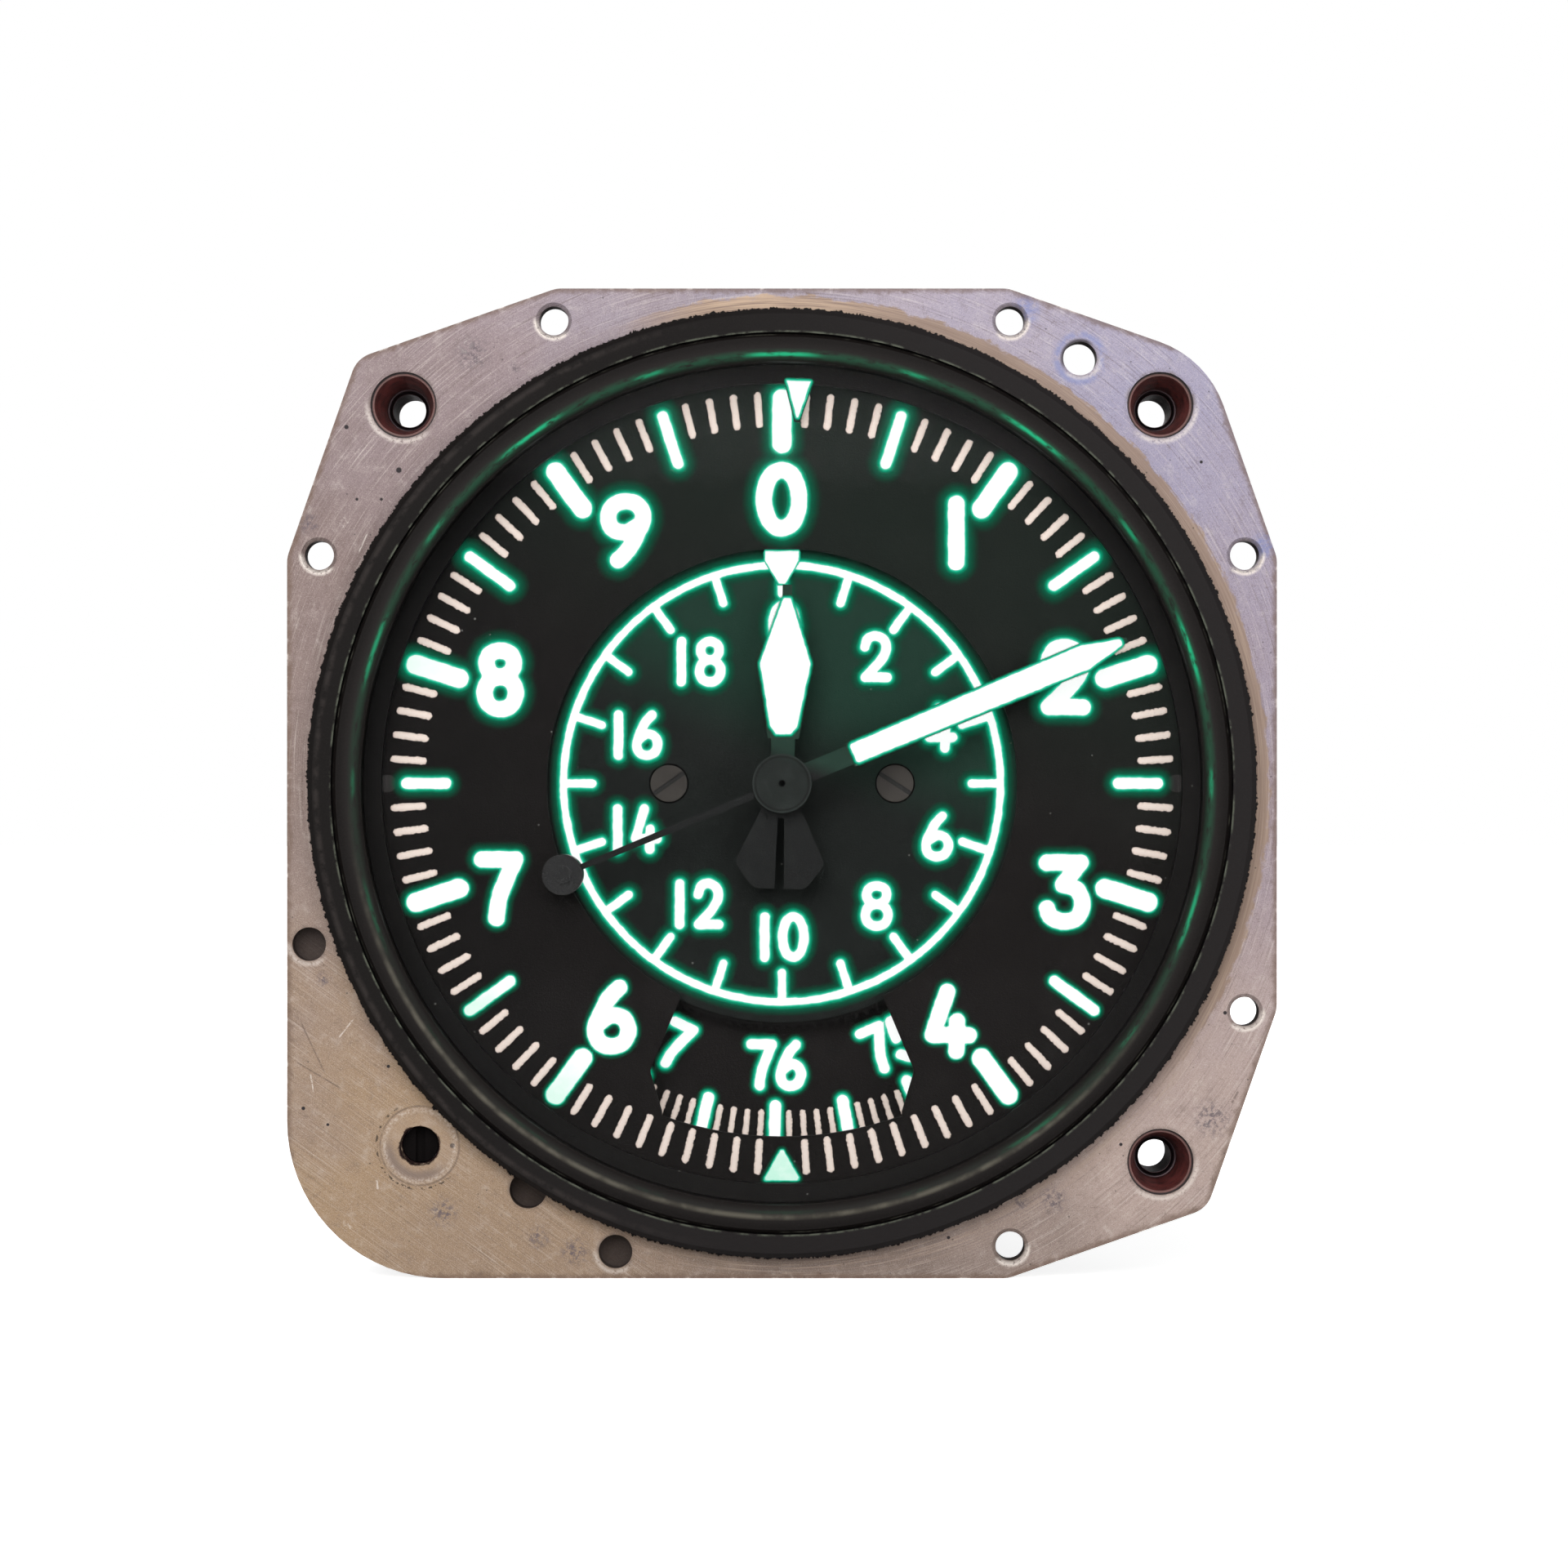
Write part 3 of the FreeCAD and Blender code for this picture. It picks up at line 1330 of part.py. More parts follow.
def static_port():
    """Hexagonal fitting with a hose nipple for the static pressure."""
    hex_back = port_front + port_hex_length
    corner = port_hex / 2 / math.cos(math.radians(30))
    hexagon = [(at(corner, 60 * k).x, at(corner, 60 * k).z) for k in range(6)]
    straight_back = hex_back + port_straight
    body = fused([disc(port_shank_radius, cover_front - port_boss_depth, port_front),
                  plate(hexagon, port_front, hex_back), disc(port_radius, hex_back, straight_back),
                  cone(port_barb_radius, port_barb_tip, straight_back, straight_back + port_barb_length)])
    return [moved(body.cut(disc(port_bore, 0.0, straight_back + port_barb_length + overrun)),
                  0.0, port_height)]


def port_washer():
    """Sealing washer under the static port."""
    return [ring(port_washer_radius, port_shank_radius, cover_back, port_front, 0.0, port_height)]


def export(name, shapes):
    """Write one node: its solid, or its group of separate solids."""
    shape = shapes[0] if len(shapes) == 1 else Part.makeCompound(shapes)
    bad = [s for s in shape.Solids if not s.isValid() or s.Volume <= 0]
    print(f"{name}: {len(shape.Solids)} solids, {shape.Volume:.2f} mm3, {'bad' if bad else 'ok'}")
    shape.exportStep(f"parts/{name}.step")


def case_node():
    """The casting as a node."""
    return [case_casting()]


nodes = {
    "case_casting": case_node,
    "corner_collars": corner_collars,
    "corner_inserts": corner_inserts,
    "retaining_ring": retaining_ring,
    "cover_glass": cover_glass,
    "glass_gasket": glass_gasket,
    "main_dial": main_dial,
    "dial_screws": dial_screws,
    "dial_carrier": dial_carrier,
    "carrier_screws": carrier_screws,
    "sub_dial": sub_dial,
    "sub_dial_screws": sub_dial_screws,
    "centre_post": centre_post,
    "outer_index_ring": outer_index_ring,
    "setting_spindle": setting_spindle,
    "index_pinion": index_pinion,
    "scale_pinion": scale_pinion,
    "spindle_packing": spindle_packing,
    "gland_nut": gland_nut,
    "setting_wheel": setting_wheel,
    "scale_hub": scale_hub,
    "pressure_disc": pressure_disc,
    "index_stud": index_stud,
    "index_wheel": index_wheel,
    "inner_index_disc": inner_index_disc,
    "front_plate": front_plate,
    "rear_plate": rear_plate,
    "plate_pillars": plate_pillars,
    "plate_screws": plate_screws,
    "movement_screws": movement_screws,
    "pivot_bushes": pivot_bushes,
    "short_hand_tube": short_hand_tube,
    "tube_wheel": tube_wheel,
    "train_arbor": train_arbor,
    "train_wheel": train_wheel,
    "centre_arbor": centre_arbor,
    "hairspring_collet": hairspring_collet,
    "hairspring": hairspring,
    "hairspring_stud": hairspring_stud,
    "sector_gear": sector_gear,
    "rocking_shaft": rocking_shaft,
    "bimetal_arm": bimetal_arm,
    "balance_weight": balance_weight,
    "rocking_bridge": rocking_bridge,
    "capsule_bracket": capsule_bracket,
    "capsule_foot": capsule_foot,
    "lower_capsule": lower_capsule,
    "upper_capsule": upper_capsule,
    "capsule_stem": capsule_stem,
    "link_rod": link_rod,
    "long_hand": long_hand,
    "hand_hub": hand_hub,
    "hand_counterweight": hand_counterweight,
    "short_hand": short_hand,
    "rear_cover": rear_cover,
    "cover_gasket": cover_gasket,
    "cover_screws": cover_screws,
    "static_port": static_port,
    "port_washer": port_washer,
}

os.makedirs("parts", exist_ok=True)
for name, make in nodes.items():
    export(name, make())
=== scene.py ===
"""Looks of an aircraft altimeter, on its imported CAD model.

Lengths in the classes are millimetres. The dial looks towards -Y, "0" is at +Z, and a bearing is a clock
angle seen from the front. Everything that is made is put down in metres.
"""

import logging
import math
from dataclasses import dataclass, field
from enum import Enum
from typing import Any, ClassVar, Sequence, Union

import bpy
import numpy as np
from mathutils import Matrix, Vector


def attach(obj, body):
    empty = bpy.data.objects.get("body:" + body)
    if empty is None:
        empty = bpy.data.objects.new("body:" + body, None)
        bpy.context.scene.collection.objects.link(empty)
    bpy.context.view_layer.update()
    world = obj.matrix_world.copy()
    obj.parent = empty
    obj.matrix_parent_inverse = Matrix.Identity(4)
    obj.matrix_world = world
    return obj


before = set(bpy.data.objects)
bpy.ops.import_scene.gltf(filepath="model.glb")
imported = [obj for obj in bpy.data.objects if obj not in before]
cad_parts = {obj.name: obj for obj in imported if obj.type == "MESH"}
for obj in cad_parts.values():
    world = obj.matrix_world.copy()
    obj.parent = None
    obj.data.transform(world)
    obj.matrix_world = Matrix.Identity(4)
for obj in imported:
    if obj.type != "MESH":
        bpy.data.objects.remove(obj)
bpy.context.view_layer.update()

MM = 0.001
NOWHERE = 1e3
Colour = tuple[float, float, float]
Point = tuple[float, float]
Place = tuple[float, float, float]
Hole = tuple[float, float, float, float]
BLACK: Colour = (0.0, 0.0, 0.0)
WHITE: Colour = (1.0, 1.0, 1.0)
log = logging.getLogger("altimeter")


class Body(str, Enum):
    """Bodies of the mechanism that a new piece can ride on."""

    CASE = "case"
    SHORT_HAND = "short_hand"
    LONG_HAND = "long_hand"
    SETTING_WHEEL = "setting_wheel"
    OUTER_INDEX = "outer_index"
    INNER_INDEX = "inner_index"


class Slot(str, Enum):
    """Material slots of the record, kept on each paint layer."""

    DIAL = "dial_black"
    HAND = "hand_paint"


def srgb(red: int, green: int, blue: int) -> Colour:
    """Turns a colour as seen on a screen into the shader's linear values.

    Args:
        red: red, 0 to 255.
        green: green, 0 to 255.
        blue: blue, 0 to 255.

    Returns:
        The three linear values.
    """
    parts = [part / 255 for part in (red, green, blue)]
    return tuple(p / 12.92 if p <= 0.04045 else ((p + 0.055) / 1.055) ** 2.4 for p in parts)


# Shader graph


class Field:
    """A shader socket that Python's own operators work on."""

    def __init__(self, graph: "Graph", socket: bpy.types.NodeSocket) -> None:
        """Keeps the graph that new nodes go into, and the socket."""
        self.graph = graph
        self.socket = socket

    def __add__(self, other: "Value") -> "Field":
        """Sum."""
        return self.graph.maths("ADD", self, other)

    def __sub__(self, other: "Value") -> "Field":
        """Difference."""
        return self.graph.maths("SUBTRACT", self, other)

    def __rsub__(self, other: "Value") -> "Field":
        """Difference from a number."""
        return self.graph.maths("SUBTRACT", other, self)

    def __mul__(self, other: "Value") -> "Field":
        """Product."""
        return self.graph.maths("MULTIPLY", self, other)

    def __truediv__(self, other: "Value") -> "Field":
        """Quotient."""
        return self.graph.maths("DIVIDE", self, other)

    def __pow__(self, other: "Value") -> "Field":
        """Power."""
        return self.graph.maths("POWER", self, other)

    def __neg__(self) -> "Field":
        """The value with its sign turned."""
        return self.graph.maths("MULTIPLY", self, -1.0)

    def __abs__(self) -> "Field":
        """The value without its sign."""
        return self.graph.maths("ABSOLUTE", self)

    __radd__ = __add__
    __rmul__ = __mul__

    def least(self, other: "Value") -> "Field":
        """The smaller of two values."""
        return self.graph.maths("MINIMUM", self, other)

    def most(self, other: "Value") -> "Field":
        """The larger of two values."""
        return self.graph.maths("MAXIMUM", self, other)

    def rise(self, low: float, high: float) -> "Field":
        """A soft step from 0 at low to 1 at high."""
        settings = {"interpolation_type": "SMOOTHSTEP"}
        sockets = {"Value": self, "From Min": low, "From Max": high}
        return self.graph.node("ShaderNodeMapRange", settings, sockets)

    def fall(self, low: float, high: float) -> "Field":
        """A soft step from 1 at low to 0 at high."""
        return 1.0 - self.rise(low, high)

    def near(self, place: float, width: float) -> "Field":
        """1 at a place, 0 at the width from it."""
        return abs(self - place).fall(0.0, width)


Value = Union[Field, float]
Input = Union[Field, float, Colour]


@dataclass
class Graph:
    """The nodes of one material or world, which are added from Python expressions."""

    tree: bpy.types.NodeTree

    def node(
        self,
        kind: str,
        settings: dict[str, Any] | None = None,
        sockets: dict[str | int, Input] | None = None,
        output: str | int = 0,
    ) -> Field:
        """Adds one node.

        Args:
            kind: the node's type.
            settings: the node's own properties; "stops" holds a colour ramp's places and colours.
            sockets: values or links of its inputs.
            output: the output that is used.

        Returns:
            That output.
        """
        made = self.tree.nodes.new(kind)
        for name, value in (settings or {}).items():
            if name == "stops":
                self.set_stops(made.color_ramp, value)
            else:
                setattr(made, name, value)
        for name, value in (sockets or {}).items():
            target = made.inputs[name]
            if isinstance(value, Field):
                self.tree.links.new(value.socket, target)
            elif isinstance(value, tuple) and len(target.default_value) > len(value):
                target.default_value = (*value, 1.0)
            else:
                target.default_value = value
        return Field(self, made.outputs[output])

    @staticmethod
    def set_stops(ramp: bpy.types.ColorRamp, stops: Sequence[tuple[float, Colour]]) -> None:
        """Gives a colour ramp its stops.

        Args:
            ramp: the ramp.
            stops: places from 0 to 1 and their colours.
        """
        while len(ramp.elements) < len(stops):
            ramp.elements.new(0.5)
        for element, (place, colour) in zip(ramp.elements, stops):
            element.position = place
            element.color = (*colour, 1.0)

    def maths(self, operation: str, first: Value, second: Value = 0.0) -> Field:
        """One Math node."""
        return self.node("ShaderNodeMath", {"operation": operation}, {0: first, 1: second})

    def ramp(self, value: Value, stops: Sequence[tuple[float, Colour]]) -> Field:
        """A colour that follows a value through stops from 0 to 1."""
        return self.node("ShaderNodeValToRGB", {"stops": stops}, {0: value})

    def away(self, flat: Field, spot: Point) -> Field:
        """Distance of a point in the face's plane from a spot."""
        sockets = {0: flat, 1: (spot[0], 0.0, spot[1])}
        return self.node("ShaderNodeVectorMath", {"operation": "DISTANCE"}, sockets, "Value")

    def mix(self, share: Value, first: Input, second: Input) -> Field:
        """The first colour where share is 0, the second where it is 1."""
        settings = {"data_type": "RGBA", "blend_type": "MIX"}
        return self.node("ShaderNodeMix", settings, {0: share, 6: first, 7: second}, 2)

    def object_place(self) -> Field:
        """The point on the object, in millimetres."""
        sockets = {"Vector": self.node("ShaderNodeTexCoord", output="Object"), "Scale": 1 / MM}
        return self.node("ShaderNodeVectorMath", {"operation": "SCALE"}, sockets)

    def parts(self, vector: Field) -> tuple[Field, Field, Field]:
        """The three parts of a vector."""
        outputs = self.node("ShaderNodeSeparateXYZ", sockets={0: vector}).socket.node.outputs
        return tuple(Field(self, outputs[axis]) for axis in range(3))

    def vector(self, x: Value, y: Value, z: Value) -> Field:
        """A vector from three values."""
        return self.node("ShaderNodeCombineXYZ", sockets={0: x, 1: y, 2: z})

    def noise(self, place: Field, scale: float, detail: float = 3.0, roughness: float = 0.55) -> Field:
        """Cloudy noise from 0 to 1 with a mean of 0.5.

        Args:
            place: where it is read.
            scale: waves per unit of place.
            detail: number of finer layers.
            roughness: weight of the finer layers.

        Returns:
            The value.
        """
        sockets = {"Vector": place, "Scale": scale, "Detail": detail, "Roughness": roughness}
        return self.node("ShaderNodeTexNoise", sockets=sockets)

    def cells(self, place: Field, scale: float) -> tuple[Field, Field]:
        """Scattered points: the distance to the nearest one, and its own random value."""
        near = self.node("ShaderNodeTexVoronoi", sockets={"Vector": place, "Scale": scale})
        colour = Field(self, near.socket.node.outputs["Color"])
        return near, self.parts(colour)[0]

    def streaks(self, place: Field, turn: float, length: float, width: float) -> Field:
        """Noise drawn out into straight strokes in the face's plane.

        Args:
            place: where it is read.
            turn: angle of the strokes in degrees.
            length: length of a stroke in millimetres.
            width: its width.

        Returns:
            The value, 0 to 1.
        """
        rotation = (0.0, math.radians(turn), 0.0)
        sockets = {"Vector": place, "Rotation": rotation, "Scale": (length, width, width)}
        turned = self.node("ShaderNodeMapping", {"vector_type": "TEXTURE"}, sockets)
        return self.noise(turned, 1.0, 3.0, 0.6)

    def attribute(self, name: str) -> Field:
        """A value kept on the mesh's points."""
        return self.node("ShaderNodeAttribute", {"attribute_name": name}, output="Fac")

    def bump(self, height: Value, depth: float) -> Field:
        """A normal from a height, whose 1 stands for a depth in millimetres."""
        sockets = {"Height": height, "Distance": depth * MM, "Strength": 1.0}
        return self.node("ShaderNodeBump", sockets=sockets)

    def output(self, shader: Field, kind: str = "ShaderNodeOutputMaterial") -> None:
        """Adds the output node and links a shader to it."""
        end = self.tree.nodes.new(kind)
        self.tree.links.new(shader.socket, end.inputs["Surface"])


class Coat:
    """A finish while it is laid: the point on the object, and the colour so far."""

    def __init__(self, graph: Graph) -> None:
        """Reads the point.

        Args:
            graph: where the nodes go.
        """
        self.graph = graph
        self.place = graph.object_place()
        self.x, self.y, self.z = graph.parts(self.place)
        self.colour: Input = BLACK

    def noise(self, scale: float, detail: float = 3.0, roughness: float = 0.55) -> Field:
        """Cloudy noise at the point."""
        return self.graph.noise(self.place, scale, detail, roughness)

    def radius(self) -> Field:
        """Distance from the dial's axis."""
        return (self.x * self.x + self.z * self.z) ** 0.5

    def specks(self, scale: float, size: Point, chosen: Point) -> Field:
        """Scattered round specks.

        Args:
            scale: possible specks per millimetre.
            size: where a speck's edge starts and ends, as shares of their spacing.
            chosen: the random value from which a speck shows, and from which it is full.

        Returns:
            1 on a speck, 0 beside it.
        """
        near, lot = self.graph.cells(self.place, scale)
        return near.fall(*size) * lot.rise(*chosen)

    def start(self, share: Value, first: Input, second: Input) -> None:
        """Starts from a mix of two colours."""
        self.colour = self.graph.mix(share, first, second)

    def tint(self, share: Value, colour: Input) -> None:
        """Lays a colour over the colour so far, where share is 1."""
        self.colour = self.graph.mix(share, self.colour, colour)

    def close(self, sockets: dict[str, Input], relief: Value, depth: float) -> None:
        """Adds the surface shader and the output.

        Args:
            sockets: values or links of the shader's inputs, apart from the colour so far.
            relief: height of the surface, 0 to 1.
            depth: millimetres that a height of 1 stands for.
        """
        sockets = {"Base Color": self.colour, "Normal": self.graph.bump(relief, depth), **sockets}
        self.graph.output(self.graph.node("ShaderNodeBsdfPrincipled", sockets=sockets))


# Finishes


@dataclass(frozen=True)
class Finish:
    """A surface finish with a name. Each kind says how its nodes are laid."""

    coat_kind: ClassVar[type[Coat]] = Coat
    name: str

    def lay(self, coat: Coat) -> None:
        """Adds the finish's nodes."""
        raise NotImplementedError

    def material(self) -> bpy.types.Material:
        """Makes the material the first time that it is asked for.

        Returns:
            The material.
        """
        known = bpy.data.materials.get(self.name)
        if known is not None:
            return known
        made = bpy.data.materials.new(self.name)
        made.use_nodes = True
        made.node_tree.nodes.clear()
        self.lay(self.coat_kind(Graph(made.node_tree)))
        return made


@dataclass(frozen=True)
class DialPaint(Finish):
    """Matte black paint with a fine tooth, specks of dust and a faint haze, with a painted green glow towards
    the top and painted shade.
    """

    colour: Colour = srgb(25, 22, 21)
    haze: Colour = srgb(37, 34, 33)
    deep: Colour = srgb(12, 11, 11)
    dust: Colour = srgb(150, 150, 145)
    shade: Colour = srgb(18, 17, 16)
    well_colour: Colour = srgb(12, 12, 12)
    veil: Colour = srgb(28, 52, 42)
    veil_share: float = 0.0
    veil_reach: float = 28.0
    dark_side: Point = (8.0, 28.0)
    well: float = NOWHERE
    well_edge: float = 0.05
    roughness: float = 0.62
    tooth: float = 0.02
    specular: float = 0.08
    dust_share: float = 0.05
    dimple: tuple[Point, float] | None = None

    def lay(self, coat: Coat) -> None:
        """Adds the paint's nodes.

        Args:
            coat: what they are laid on.
        """
        cloud = coat.noise(0.18, 4.0)
        tooth = coat.noise(7.0, 3.0, 0.7)
        coat.start(cloud.rise(0.4, 0.75) * 0.4 + tooth.rise(0.42, 0.7) * 0.6, self.colour, self.haze)
        coat.tint(tooth.fall(0.3, 0.46) * 0.5, self.deep)
        # painted shade: darker towards the left
        coat.tint((-coat.x).rise(*self.dark_side) * 0.4, self.deep)
        # painted green glow of the luminous marks, stronger towards the top right
        coat.tint((coat.z + coat.x * 0.4).rise(0.0, self.veil_reach) * self.veil_share, self.veil)
        # painted shade on the upper side of a dimple
        if self.dimple:
            (middle_x, middle_z), size = self.dimple
            off_x, off_z = coat.x - middle_x, coat.z - middle_z
            away = (off_x * off_x + off_z * off_z) ** 0.5
            coat.tint(away.near(size * 0.75, size * 0.4) * (off_z / size).rise(-0.3, 0.8) * 0.7, self.shade)
        coat.tint(coat.specks(0.9, (0.05, 0.11), (1.0 - self.dust_share, 1.0)) * 0.8, self.dust)
        # painted shade in the recess deeper than the well
        coat.tint(coat.y.rise(self.well, self.well + self.well_edge), self.well_colour)
        sockets = {"Roughness": self.roughness + (tooth - 0.5) * 0.25, "Specular IOR Level": self.specular}
        coat.close(sockets, tooth, self.tooth)


@dataclass(frozen=True)
class RingPaint(Finish):
    """Brownish black paint of the retaining ring, grainy, worn at its edges, with painted shade, a painted
    highlight and a painted green reflection of the bars.
    """

    colour: Colour = srgb(34, 31, 30)
    deep: Colour = srgb(20, 17, 16)
    grain: Colour = srgb(44, 39, 37)
    wear: Colour = srgb(92, 92, 82)
    sheen: Colour = srgb(96, 92, 82)
    glow: Colour = srgb(0, 196, 136)
    glow_strength: float = 0.8
    deep_rise: Point = (36.9, 38.1)
    outer_edge: float = 38.4
    sheen_radius: float = 37.1
    glow_radius: float = 36.72
    bars: float = 10.0
    ticks: float = 20.0
    roughness: float = 0.5

    def lay(self, coat: Coat) -> None:
        """Adds the paint's nodes.

        Args:
            coat: what they are laid on.
        """
        radius = coat.radius()
        grain = coat.noise(5.0, 4.0, 0.7)
        patch = coat.noise(0.5, 3.0)
        # painted shade: darker towards the outer edge
        coat.start(radius.rise(*self.deep_rise), self.colour, self.deep)
        coat.tint(grain.rise(0.5, 0.85) * 0.4, self.grain)
        # painted highlight on the lower part of the ring
        lower = (coat.z + coat.x * 0.2).fall(-30.0, -8.0) * (0.35 + patch.rise(0.35, 0.65) * 0.65)
        coat.tint(radius.near(self.sheen_radius, 0.36) * lower * 0.85, self.sheen)
        coat.tint(radius.near(self.outer_edge, 0.1) * patch.rise(0.5, 0.7) * 0.6, self.wear)
        sockets = {
            "Roughness": self.roughness + (grain - 0.5) * 0.3,
            "Specular IOR Level": 0.07,
            # painted reflection of the luminous marks, as emission
            "Emission Color": coat.graph.mix(self.lit(coat, radius), BLACK, self.glow),
            "Emission Strength": self.glow_strength,
        }
        coat.close(sockets, grain, 0.03)

    def lit(self, coat: Coat, radius: Field) -> Field:
        """Where the painted green reflection of the dial's luminous bars and ticks lies, brighter at the top.

        Args:
            coat: what the paint is laid on.
            radius: distance from the dial's axis.

        Returns:
            1 where it is brightest, 0 where there is none.
        """
        graph = coat.graph
        bearing = graph.maths("ARCTAN2", coat.x, coat.z)
        streak = graph.noise(graph.vector(bearing * 26.0, radius * 2.5, 0.0), 1.0, 3.0, 0.6)
        bars = graph.maths("COSINE", bearing * self.bars).rise(0.35, 1.0) ** 2.0
        ticks = graph.maths("COSINE", bearing * self.ticks).rise(0.55, 1.0) ** 2.0 * 0.5
        upper = ((coat.z * 0.9 + coat.x * 0.35) / 36.0).rise(-0.9, 0.7) * 0.97 + 0.03
        tail = radius.near(self.glow_radius, 0.6) * 0.12
        line = radius.near(self.glow_radius, 0.27) * bars.most(ticks)
        return (line + tail) * upper * streak.rise(0.25, 0.55)


class FlangeCoat(Coat):
    """The casting's finish while it is laid, with the places and noise that its steps read."""

    def __init__(self, graph: Graph) -> None:
        """Reads the point.

        Args:
            graph: where the nodes go.
        """
        super().__init__(graph)
        self.flat = graph.vector(self.x, 0.0, self.z)
        self.from_axis = self.away((0.0, 0.0))
        self.bearing = graph.maths("ARCTAN2", self.x, self.z) * math.degrees(1.0)
        self.cloud = self.noise(0.09, 4.0)
        self.mottle = self.noise(0.8, 5.0, 0.65)
        self.grain = self.noise(4.0, 4.0, 0.7)
        self.fine = self.noise(11.0, 2.0, 0.7)
        self.turned = self.ring_noise(7.0, 0.09, 3.0, 0.65)

    def away(self, spot: Point) -> Field:
        """Distance from a spot, in the face's plane."""
        return self.graph.away(self.flat, spot)

    def ring_noise(self, across: float, along: float, detail: float, roughness: float) -> Field:
        """Noise drawn out along circles round the axis.

        Args:
            across: waves per millimetre of radius.
            along: waves per degree of bearing.
            detail: number of finer layers.
            roughness: weight of the finer layers.

        Returns:
            The value, 0 to 1.
        """
        place = self.graph.vector(self.from_axis * across, self.bearing * along, 0.0)
        return self.graph.noise(place, 1.0, detail, roughness)

    def spots(self, places: Sequence[Place], inner: float, outer: float) -> Field:
        """Round marks.

        Args:
            places: x, z and size of each.
            inner: share of the size that is full.
            outer: share of the size where it ends.

        Returns:
            1 on a mark, 0 beside it.
        """
        found: Value = 0.0
        for x, z, size in places:
            found = self.away((x, z)).fall(size * inner, size * outer).most(found)
        return found

    def line(self, start: Point, end: Point, width: float) -> Field:
        """A scratch from one place to another.

        Args:
            start: one end.
            end: other end.
            width: half its width.

        Returns:
            1 on the scratch, 0 beside it.
        """
        run = math.dist(start, end)
        part, rest = (end[0] - start[0]) / run, (end[1] - start[1]) / run
        off_x, off_z = self.x - start[0], self.z - start[1]
        along = (off_x * part + off_z * rest) / run
        across = abs(off_z * part - off_x * rest)
        return across.fall(width * 0.5, width) * along.rise(0.0, 0.12) * along.fall(0.88, 1.0)


